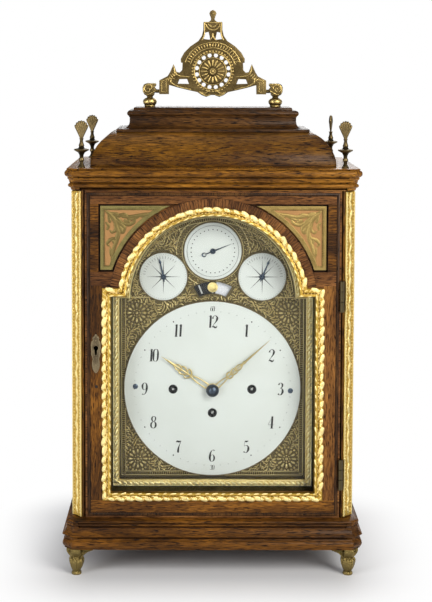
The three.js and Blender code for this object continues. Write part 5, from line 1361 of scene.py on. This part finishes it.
def dial_relief():
    """The embossed dial plate: fronds, a rosette in each corner, and beaded lines round the edges."""
    face = DIAL_FACE
    chance = random.Random(4)
    fronds, grains = [], []
    pitch = 2.9 * MM
    for i in range(-33, 34):
        for k in range(0, 100):
            x = (i + 0.5 * (k % 2) + chance.uniform(-0.3, 0.3)) * pitch
            z = PLATE_FOOT + (k + chance.uniform(-0.3, 0.3)) * pitch * 0.9
            room = plate_room(x, z)
            if room < 1.6 * MM:
                continue
            if any(hypot(x / MM - kx, (z - DIAL_Z) / MM - kz) < 14 for kx, kz in CORNER_KNOTS):
                continue
            if room < 5.6 * MM and z < PLATE_SHOULDER and (
                    abs(x) > PLATE_HALF - 6.5 * MM or z < PLATE_FOOT + 6.5 * MM):
                continue
            around_date = dist((x, z), DATE_PLACE)
            if around_date < 37 * MM:
                grains.append((x, face - 0.05 * MM, z, 0, chance.uniform(0.8, 1.2)))
                continue
            flow = 3.2 * sin(x / (9 * MM)) + 2.6 * cos(z / (11 * MM) + 0.8 * sin(x / (15 * MM)))
            fronds.append((
                x, face - 0.05 * MM, z, flow + chance.uniform(-0.4, 0.4), chance.uniform(0.7, 1.15)))
    parts = [repeated("fronds", lobe(4.6, 1.9, 1.5, 0.4, 8, 6), fronds),
             repeated("grains", lobe(1.6, 1.4, 1.0, 0.9, 6, 5), grains)]
    beads, petals = [], []
    for kx, kz in CORNER_KNOTS:
        x, z = kx * MM, DIAL_Z + kz * MM
        for radius, count, size in ((12.2, 22, 1.2), (3.4, 8, 0.85)):
            beads += ring_places(x, face - 0.1 * MM, z, radius, count, 0, size)
        petals += ring_places(x, face - 0.1 * MM, z, 7.6, 12)
        beads.append((x, face - 0.3 * MM, z, 0, 1.7))
    parts.append(repeated("knot_beads", lobe(2.0, 2.0, 1.7, 1.0, 8, 6), beads))
    parts.append(repeated("knot_petals", lobe(5.4, 3.3, 2.1, 0.35, 10, 7), petals))
    lines, rungs, edges = [], [], []
    for side in (-1, 1):
        for inset in (1.4, 5.4):
            x = side * (PLATE_HALF - inset * MM)
            edges.append(((x, PLATE_FOOT + inset * MM), (x, PLATE_SHOULDER - 1.5 * MM)))
        for k in range(80):
            x, z = side * (PLATE_HALF - BORDER), PLATE_FOOT + (3.4 + 2.2 * k) * MM
            if (z < PLATE_SHOULDER - 2.5 * MM and plate_room(x, z) > 1.2 * MM
                    and abs(abs(z - DIAL_Z) - 76 * MM) > 13 * MM):
                rungs.append((x, face - 0.1 * MM, z, 0, 1))
    for inset in (1.4, 5.4):
        z = PLATE_FOOT + inset * MM
        edges.append(((-PLATE_HALF + inset * MM, z), (PLATE_HALF - inset * MM, z)))
    for k in range(-41, 42):
        x = 2.2 * k * MM
        if plate_room(x, PLATE_FOOT + BORDER) > 1.2 * MM and abs(abs(x) - 77 * MM) > 13 * MM:
            rungs.append((x, face - 0.1 * MM, PLATE_FOOT + BORDER, pi / 2, 1))
    for (ax, az), (bx, bz) in edges:
        lines += clear_runs([(ax + (bx - ax) * i / 60, az + (bz - az) * i / 60) for i in range(61)])
    for side in (-1, 1):
        lines.append([(side * 28 * MM, PLATE_SHOULDER - 0.4 * MM, 1.3),
            (side * (PLATE_HALF - 1 * MM), PLATE_SHOULDER - 0.4 * MM, 1.3)])
    for reach in (31.4, 37.2):
        turns = [2 * pi * i / 120 for i in range(121)]
        lines += clear_runs([(reach * MM * sin(turn), DATE_PLACE[1] + reach * MM * cos(turn))
            for turn in turns])
    for inset in (1.6, 5.6):
        lines.append([(x, z, 0.8) for x, z in arc(0, ARCH_Z, PLATE_ARCH - inset * MM, 4, 176, 60)
            if plate_room(x, z) > 0.6 * MM])
    for i in range(110):
        turn = radians(5 + 170 * i / 109)
        x, z = (PLATE_ARCH - 3.6 * MM) * cos(turn), ARCH_Z + (PLATE_ARCH - 3.6 * MM) * sin(turn)
        if plate_room(x, z) > 1.4 * MM:
            rungs.append((x, face - 0.1 * MM, z, turn, 1))
    parts.append(repeated("rungs", lobe(3.0, 1.0, 1.1, 0.9, 6, 5), rungs))
    parts.append(wires("relief_lines", lines, face, 0.9, 1))
    settle(joined("dial_plate_relief", parts), "case", dial_brass, "dial_brass")


mock_pendulum()
door_veneers()
corner_plates()
dial_relief()


# ------------------------------------------------------------------ handle and its posts

HANDLE_FRONT = -3.5 * MM
ROSETTE_Z = PIVOT_Z + 21 * MM


POST_X = 66.2 * MM


def handle_casting():
    """The cast openwork handle, worked on both faces: a rosette in a ring of holes, a banded
    arch, scrolled wings, square ends and an urn on top."""
    body = merged_copy("handle", "handle_body")
    rounded(body, 0.7, 3)
    smooth(body, 40)
    petals = ring_places(0, -0.9 * MM, ROSETTE_Z, 8.6, 16)
    beads = ring_places(0, 0, ROSETTE_Z, 21.2, 40, 0)
    rungs = []
    for i in range(23):
        turn = radians(22 + 136 * i / 22)
        rungs.append((27.6 * MM * cos(turn), 0, ROSETTE_Z + 27.6 * MM * sin(turn), turn, 1))
    for side in (-1, 1):
        for k in range(4):
            rungs.append((side * (41 + 2.0 * k) * MM, 0, PIVOT_Z + (17 - 1.6 * k) * MM,
                radians(90 - side * 35), 1))
    strokes = [placed(closed_ring(14.2, 0.9), 0, ROSETTE_Z), placed(closed_ring(19.4, 1.3), 0, ROSETTE_Z),
               placed(closed_ring(3.9, 1.2), 0, ROSETTE_Z)]
    for reach, width in ((24.6, 1.1), (30.4, 1.4)):
        strokes.append([(x, z, width) for x, z in arc(0, ROSETTE_Z, reach * MM, 18, 162, 40)])
    for side in (-1, 1):

        def at(chain):
            return placed(chain, 0, PIVOT_Z, flip=side)

        strokes += [
            at(flowing([(23, 1.8, 1.4), (30, 3.4, 1.6), (38, 5.6, 1.8), (44, 9.5, 1.6), (43, 13.5, 1.2),
                (40, 13, 1.0)])),
            at(flowing([(24, 15, 1.2), (30, 15.5, 1.4), (36, 16.4, 1.6), (39.6, 19.5, 1.8), (41, 27, 0.7)])),
            at(flowing([(2.5, -3.6, 1.2), (7, -4.6, 2.2), (11, -2.8, 1.8), (14, -0.6, 1.2)])),
            at(flowing([(3.5, 2.0, 1.0), (8, -2.2, 1.6), (13, -0.8, 1.2)])),
            at([(49.2, 12.0, 0.9), (53.6, 9.6, 0.9), (53.6, -0.8, 0.9), (48.8, -0.8, 0.9),
                (49.2, 12.0, 0.9)]),
            at([(44.8, 12.6, 1.6), (56.0, 10.6, 1.6)]),
            at(flowing([(11.2, 53.6, 1.3), (9.2, 58.4, 1.3), (8.6, 63, 1.3), (8.8, 71.4, 1.4)])),
            at(flowing([(0, 60.5, 1.8), (0.6, 57.0, 1.4), (3.4, 53.6, 1.2)])),
            at(flowing([(0, 64.2, 2.2), (3.4, 65.0, 2.0), (6.2, 67.6, 1.4), (7.6, 70.6, 0.9)])),
        ]
    strokes.append(placed([(-9.6, 72.0, 1.5), (9.6, 72.0, 1.5)], 0, PIVOT_Z))
    strokes.append(placed(flowing([(-5, 70.6, 0.8), (0, 67.4, 1.8), (5, 70.6, 0.8)]), 0, PIVOT_Z))
    lines = wires("handle_lines", strokes, 0.0, 1.0)
    boss = turned("rosette_boss", [(0, -3.0), (1.2, -2.8), (1.8, -2.2), (2.9, -2.3), (3.5, -1.8), (3.5, 0),
        (0, 0)], (0, 0, ROSETTE_Z), 24, "Y")
    face = joined("handle_face", [
        lines, boss, repeated("petals", lobe(8.4, 2.9, 1.5, 0.35), petals),
        repeated("ring_beads", lobe(2.4, 2.4, 1.1, 1.0, 8, 6), beads),
        repeated("ladder", lobe(4.6, 1.5, 0.9, 0.9, 8, 6), rungs)])
    rear = copied(face, Matrix.Translation((0, -HANDLE_FRONT, 0)) @ Matrix.Rotation(pi, 4, "Z"))
    face.data.transform(Matrix.Translation((0, HANDLE_FRONT, 0)))
    bud = turned("handle_bud", [(0, 74), (2.6, 74.2), (2.0, 75.2), (1.5, 76.4), (1.8, 78), (3.2, 80.2),
        (3.6, 81.6), (3.0, 83.4), (1.4, 84.8), (0, 85.3)], (0, 0, PIVOT_Z), 24)
    coat(patina_brass, body)
    coat(cast_brass, face, rear, bud)
    settle(joined("handle_casting", [body, face, rear, bud]), "handle", None, "cast_brass", "handle")


def handle_posts():
    """Each post is a ball on the cap under a scrolled head that holds the handle's pivot."""
    for side, name in ((-1, "left"), (1, "right")):
        low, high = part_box(name + "_handle_post")
        x = side * POST_X
        foot = low.z
        ball = turned(name + "_ball", [(0, 0), (5.4, 0), (6.0, 0.8), (5.6, 1.8), (6.9, 3.4), (7.4, 5.4),
            (6.8, 7.4), (5.0, 8.9), (3.2, 9.7), (3.0, 10.6), (3.9, 11.6), (4.8, 13.2), (0, 13.2)],
            (x, 0, foot), 32)
        head_outline = [(-4.6, 11.8), (1.4, 11.4), (5.6, 12.6), (7.4, 16.0), (7.6, 20.4), (6.2, 23.6),
            (2.8, 24.9), (-6.6, 24.8), (-6.8, 22.2), (-4.4, 20.6), (-6.6, 19.6), (-7.0, 16.4), (-5.0, 14.8)]
        head = plate(name + "_head", [(x + side * u * MM, foot + v * MM) for u, v in head_outline],
            -5.6 * MM, 11.2 * MM)
        rounded(head, 1.6, 3)
        smooth(head, 50)

        def at(chain):
            return placed(chain, x, foot, flip=side)

        strokes = [
            at([(u + 1.8, v + 18.6, w) for u, v, w in curl(4.4, -60, 1.2, 1, 1.6)]),
            at(flowing([(-6.2, 23.6, 1.4), (0, 23.9, 1.6), (4.6, 22.8, 1.6), (6.6, 19.4, 1.4),
                (6.2, 15.2, 1.0)])),
            at(flowing([(-5.6, 16.6, 1.4), (-2.8, 15.2, 1.4), (0.8, 13.2, 1.2), (3.8, 13.4, 1.0)])),
            at(flowing([(-5.8, 21.4, 1.2), (-3.0, 21.0, 1.4), (-1.6, 18.6, 1.0)])),
        ]
        lines = wires(name + "_head_lines", strokes, -5.5 * MM, 1.0)
        rear = copied(lines, Matrix.Translation((0, 11.0 * MM, 0)))
        pin_x = abs(low.x if side > 0 else high.x)
        pin = turned(name + "_pin", [(0, -8), (1.9, -8), (1.9, 1.2), (0, 1.2)], (0, 0, 0), 16)
        pin.data.transform(Matrix.Translation((side * (pin_x + 1.2 * MM), 0, PIVOT_Z))
            @ Matrix.Rotation(-side * pi / 2, 4, "Y"))
        coat(patina_brass, head, pin)
        coat(cast_brass, ball, lines, rear)
        settle(joined(name + "_post", [ball, head, lines, rear, pin]), "case", None, "cast_brass",
            name + "_handle_post")


# ------------------------------------------------------------------ finials and feet

def finials():
    """Turned stems with a saucer, each under a fluted fan that stands at its own angle."""
    for name, turn in (("front_left", 0), ("front_right", 12), ("rear_left", -14), ("rear_right", 78)):
        low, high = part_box(name + "_finial")
        middle = (low + high) / 2
        stem = turned(name + "_stem", [
            (0, 0), (3.7, 0), (3.8, 1.0), (2.7, 2.2), (1.8, 4.4), (1.8, 6.0), (2.8, 7.4), (2.7, 8.8),
            (1.9, 10.2), (2.1, 12.6), (3.4, 15.2), (7.4, 17.4), (7.75, 18.1), (7.3, 18.7), (3.2, 19.6),
            (2.5, 21.0), (2.9, 22.4), (2.2, 24.2), (1.6, 26.5), (1.8, 28.4), (2.4, 29.4), (0, 29.8)],
            (0, 0, 0), 28)
        ribs = []
        for i in range(-3, 4):
            lean = radians(7.4 * i)
            reach = 19.4 - 0.35 * i * i
            ribs.append([(0.1 * i * MM, 28.0 * MM, 1.2)] + [
                (sin(lean) * reach * t * MM, (28.0 + cos(lean) * reach * t) * MM, w)
                for t, w in ((0.35, 2.0), (0.65, 2.6), (0.85, 3.0), (0.95, 2.6), (1.0, 1.4))])
        fan = wires(name + "_fan", ribs, 0.0, 1.15)
        piece = joined(name + "_fan_finial", [stem, fan])
        piece.data.transform(Matrix.Translation((middle.x, middle.y, low.z))
            @ Matrix.Rotation(radians(turn), 4, "Z"))
        settle(piece, "case", dark_brass, "cast_brass", name + "_finial")


def feet():
    """Turned toes wrapped in leaves, each under two carved wings. One is modelled at the origin
    with its wings towards +X and +Y, and the four are turned copies of it."""
    top = (highs("front_left_foot").z - lows("front_left_foot").z) / MM
    toe = turned("toe", [
        (0, 0), (4.7, 0), (5.2, 1.0), (4.9, 2.6), (4.1, 3.6), (4.6, 5.2), (6.0, 8.2), (7.0, 11.4),
        (7.2, 13.4), (6.7, 15.6), (5.5, 18.0), (5.2, 19.2), (5.9, 21.2), (7.6, 23.6), (9.0, 25.4),
        (0, 25.8)], (0, 0, 0), 32)
    wing_outline = [(-10, 0), (17.4, 0), (17.4, 3.2), (16.0, 3.8), (12.6, 4.6), (9.8, 6.4), (7.8, 8.6),
        (6.4, 11.0), (3.0, 11.4), (-4, 11.2), (-7, 8.6), (-9, 5.6), (-10, 3.6)]
    wings = []
    for turn, mirror in ((0, 1), (90, -1)):
        wing = plate("wing", [(x * MM, (top - drop) * MM) for x, drop in wing_outline], -4.6 * MM,
            9.2 * MM)
        rounded(wing, 0.9, 3)
        smooth(wing, 50)
        chains = [[(-9.6, 0.9, 1.5), (17.0, 0.9, 1.5)], [(-9.4, 3.1, 1.0), (16.6, 3.1, 1.0)]] + [
            flowing(chain) for chain in (
                [(14.6, 3.6, 1.0), (11.0, 4.6, 1.6), (7.4, 7.0, 1.8), (5.0, 10.8, 1.4)],
                [(12.4, 1.0, 0.9), (7.0, 2.4, 1.4), (3.6, 6.2, 1.6), (1.8, 10.6, 1.2)],
                [(6.0, 1.0, 0.9), (2.4, 3.0, 1.3), (-0.6, 6.6, 1.5), (-1.6, 10.6, 1.2)],
                [(-1.0, 1.0, 0.9), (-3.6, 3.2, 1.3), (-5.2, 6.8, 1.4), (-5.0, 10.2, 1.0)],
                [(-6.4, 1.0, 0.9), (-8.4, 3.4, 1.2), (-8.2, 6.0, 1.0)])]
        veins = wires("wing_leaf", [[(x * MM, (top - drop) * MM, w) for x, drop, w in chain]
            for chain in chains], -4.7 * MM, 0.9)
        for part in (wing, veins):
            part.data.transform(Matrix.Rotation(radians(turn), 4, "Z") @ Matrix.Diagonal((1, mirror, 1, 1)))
            wings.append(faces_out(part))
    leaves = []
    for k in range(7):
        for turn, out, height, shape in ((0, 5.6, 11.4, (13.0, 3.6, 3.2, 0.4)),
                (0.5, 5.2, 15.6, (8.0, 2.6, 2.4, 0.5)), (0.5, 4.2, 7.0, (6.0, 2.2, 1.6, 0.4))):
            leaf = lobe(*shape)
            leaf.data.transform(Matrix.Rotation(2 * pi * (k + turn) / 7, 4, "Z")
                @ Matrix.Translation((0, -out * MM, height * MM))
                @ Matrix.Rotation(radians(5), 4, "X") @ Matrix.Rotation(-pi / 2, 4, "Y"))
            leaves.append(leaf)
    pattern = joined("foot", [toe] + wings + leaves)
    for name, turn in (("front_left", 0), ("front_right", 90), ("rear_right", 180), ("rear_left", 270)):
        low = lows(name + "_foot")
        side_x, side_y = (1 if low.x > 0 else -1), (1 if low.y > 0 else -1)
        piece = copied(pattern, Matrix.Translation((
            side_x * (BODY_HALF - 3.5 * MM), side_y * (BODY_BACK - 3.5 * MM), low.z))
            @ Matrix.Rotation(radians(turn), 4, "Z"))
        piece.name = name + "_leaf_foot"
        settle(piece, "case", foot_brass, "cast_brass", name + "_foot")
    bpy.data.objects.remove(pattern)


# ------------------------------------------------------------------ keyhole plate and movement

def keyhole_plate():
    """Waisted plate with a shaped crown, a keyhole and two pins."""
    low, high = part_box("keyhole_escutcheon")
    x, z = (low.x + high.x) / 2, (low.z + high.z) / 2
    right = [(0, 20), (1.2, 19.2), (1.6, 17.6), (2.8, 17.4), (3.4, 15.6), (2.6, 14.2), (4.4, 12.6),
        (5.05, 9.6), (5.0, 5.6), (4.6, 2.2), (4.9, -0.4), (3.9, -3.2), (3.2, -5.6), (3.8, -8.4),
        (3.9, -12.4), (3.2, -15.8), (1.8, -18.4), (0, -20)]
    outline = right + [(-u, v) for u, v in right[-2:0:-1]]
    body = plate("keyhole_plate", [(x + u * MM, z + v * MM) for u, v in outline], low.y + 0.25 * MM,
        high.y - low.y - 0.25 * MM)
    key = [(x + u * MM, z + v * MM) for u, v in
           [(2.6 * sin(t / 2), 5.6 + 2.6 * cos(t / 2)) for t in range(-5, 6)] + [(1.1, -1.8), (-1.1, -1.8)]]
    hole = plate("keyhole", key, low.y - 2 * MM, 2.6 * MM)
    rounded(carve(body, hole), 0.22)
    rim = wires("keyhole_rim", [[(x + u * 0.86 * MM, z + (v * 0.93 + 0.1) * MM, 0.7)
        for u, v in outline + outline[:1]]], low.y + 0.3 * MM, 0.5)
    pins = repeated("keyhole_pins", lobe(1.5, 1.5, 0.5, 1.0, 8, 6), [
        (x, low.y + 0.3 * MM, z + v * MM, 0, 1) for v in (13.4, -11.6)])
    settle(joined("pierced_keyhole_plate", [body, rim, pins]), "front_door", dull_brass, "cast_brass",
        "keyhole_escutcheon")
    # Painted shade: a black sheet inside the keyhole, and a black disc for the nail hole below it.
    dark = plate("keyhole_painted_shade", key, low.y + 0.6 * MM, 0.3 * MM)
    nail = turned("nail_hole", [(0, -0.1), (1.5, -0.1), (1.7, 0.2), (0, 0.3)],
        (x + 0.3 * MM, DOOR_FACE - VENEER, z - 33.6 * MM), 16, "Y")
    coat(hole_painted_shade, dark, nail)
    settle(joined("keyhole_painted_shades", [dark, nail]), "front_door", None, "cast_brass")


BOB_DROP = 170 * MM
HAMMER_PLACE = (46 * MM, DIAL_Z + 54 * MM)


def movement_details():
    """Turned pendulum bob on its rod, the hour bell and its hammer."""
    low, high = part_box("pendulum")
    middle_y, bob_z = low.y + 4.5 * MM, VERGE_Z - BOB_DROP
    bob = turned("bob", [(0, -4.4), (4.0, -4.1), (9.6, -2.8), (14.0, -0.6), (15.9, 0.2), (15.9, 0.9),
        (14.0, 1.8), (9.6, 3.6), (4, 4.3), (0, 4.5)], (0, middle_y, bob_z), 56, "Y")
    rod = plate("rod", rectangle(-1.2 * MM, 1.2 * MM, low.z, VERGE_Z - 3.4 * MM), low.y + 3.5 * MM, 2 * MM,
        0.3)
    collar = turned("collar", [(2.0, 2.5), (4.6, 2.5), (4.6, 6.5), (2.0, 6.5), (2.0, 2.5)],
        (0, low.y, VERGE_Z), 32, "Y")
    nut = turned("rating_nut", [(0, -1.2), (2.6, -1.2), (2.6, 1.2), (0, 1.2)],
        (0, middle_y, bob_z - 17.9 * MM), 12)
    coat(bright_brass, bob, collar, nut)
    coat(grey_steel, rod)
    settle(joined("rod_pendulum", [bob, rod, collar, nut]), "pendulum", None, "movement_brass", "pendulum")
    low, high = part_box("hour_bell")
    height = (high.z - low.z) / MM
    outer = [(32.0, 0), (31.9, 0.8), (30.8, 4.0), (29.6, 8.0), (28.2, 12.0), (26.4, 15.6), (23.6, 19.2),
        (19.6, 22.0), (14.6, 23.6), (8, height - 0.1)]
    inner = [(30.0, 0), (28.6, 5.6), (27.0, 11.4), (24.6, 15.6), (20.8, 19.4), (16.0, 21.4),
        (8, height - 2.2)]
    bell_y = (low.y + high.y) / 2
    bell = turned("bell", [(2.3, height)] + outer[::-1] + inner + [(2.3, height - 2.2), (2.3, height)],
        (0, bell_y, low.z), 72)
    settle(bell, "case", bell_metal, "bell_metal", "hour_bell")
    low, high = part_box("bell_hammer")
    x, z = HAMMER_PLACE
    head_z = lows("hour_bell").z + 5 * MM
    length = (high.y - low.y) / MM
    arbor = turned("hammer_arbor", [(0, 0), (1.5, 0), (1.9, 0.5), (1.9, length - 0.5), (1.5, length),
        (0, length)], (x, low.y, z), 20, "Y")
    arm = plate("hammer_arm", [(x - 1.6 * MM, z - 2 * MM), (x + 1.6 * MM, z - 2 * MM), (42 * MM, head_z),
        (38.4 * MM, head_z)], bell_y - 1.2 * MM, 2.4 * MM, 0.35)
    head = turned("hammer_head", [(0, 33.2), (3.6, 33.2), (4.5, 34.0), (4.6, 35.2), (3.9, 36.4),
        (3.9, 42.6), (4.6, 43.6), (4.5, 44.2), (3.8, 44.9), (0, 45.0)], (0, 0, 0), 28)
    head.data.transform(Matrix.Translation((0, bell_y, head_z)) @ Matrix.Rotation(pi / 2, 4, "Y"))
    settle(joined("steel_hammer", [arbor, arm, head]), "bell_hammer", grey_steel, "polished_steel",
        "bell_hammer")


def back_plate_engraving():
    """Engraved border and scrolls on the back of the movement, and the nuts of its pillars."""
    foot = lows("movement_front_plate").z / MM
    top = highs("movement_front_plate").z / MM
    half, face = 72, 20.5 * MM  # the plate's half width in mm and its back
    strokes = []
    for inset, width in ((3.0, 0.5), (4.8, 1.0)):
        border = rectangle(inset - half, half - inset, foot + inset, top - inset)
        strokes.append([(u * MM, v * MM, width) for u, v in border + border[:1]])
    stem = flowing([(12, 12, 0.6), (28, 30, 1.0), (56, 50, 1.1), (38, 78, 1.1), (58, 108, 1.1),
        (40, 136, 1.1), (54, 166, 1.0), (40, 196, 0.6)], False, 8)
    for side in (-1, 1):
        strokes.append([(side * u * MM, (foot + v) * MM, w) for u, v, w in stem])
        for u, v, radius, start, hand in ((46, 34, 11, 0, 1), (26, 56, 10, 90, -1), (56, 76, 10, 180, 1),
                (22, 92, 11, 300, 1), (40, 108, 10, 270, -1), (60, 132, 8, 20, 1), (24, 150, 10, 200, -1),
                (42, 164, 9, 60, 1), (20, 190, 9, 120, -1)):
            strokes.append(placed(curl(radius, start, 1.5, hand, 1.1, 24), side * u * MM, (foot + v) * MM,
                flip=side))
    lines = wires("back_plate_engraving", strokes, face, 0.14, 1)
    settle(lines, "case", black_brass, "movement_brass")
    nuts = []
    for u in (-62, 62):
        for v in (-76, 74):
            nut = turned("pillar_nut", [(0, 0), (4.6, 0), (4.6, 0.9), (3.8, 1.6), (2.0, 2.2), (0, 2.3)],
                (0, 0, 0), 24)
            nut.data.transform(Matrix.Translation((u * MM, face, DIAL_Z + v * MM))
                @ Matrix.Rotation(-pi / 2, 4, "X"))
            nuts.append(nut)
    settle(joined("pillar_nuts", nuts), "case", grey_steel, "movement_brass")


keyhole_plate()
movement_details()
back_plate_engraving()
handle_casting()
handle_posts()
finials()
feet()

bpy.context.scene.view_settings.view_transform = "Standard"
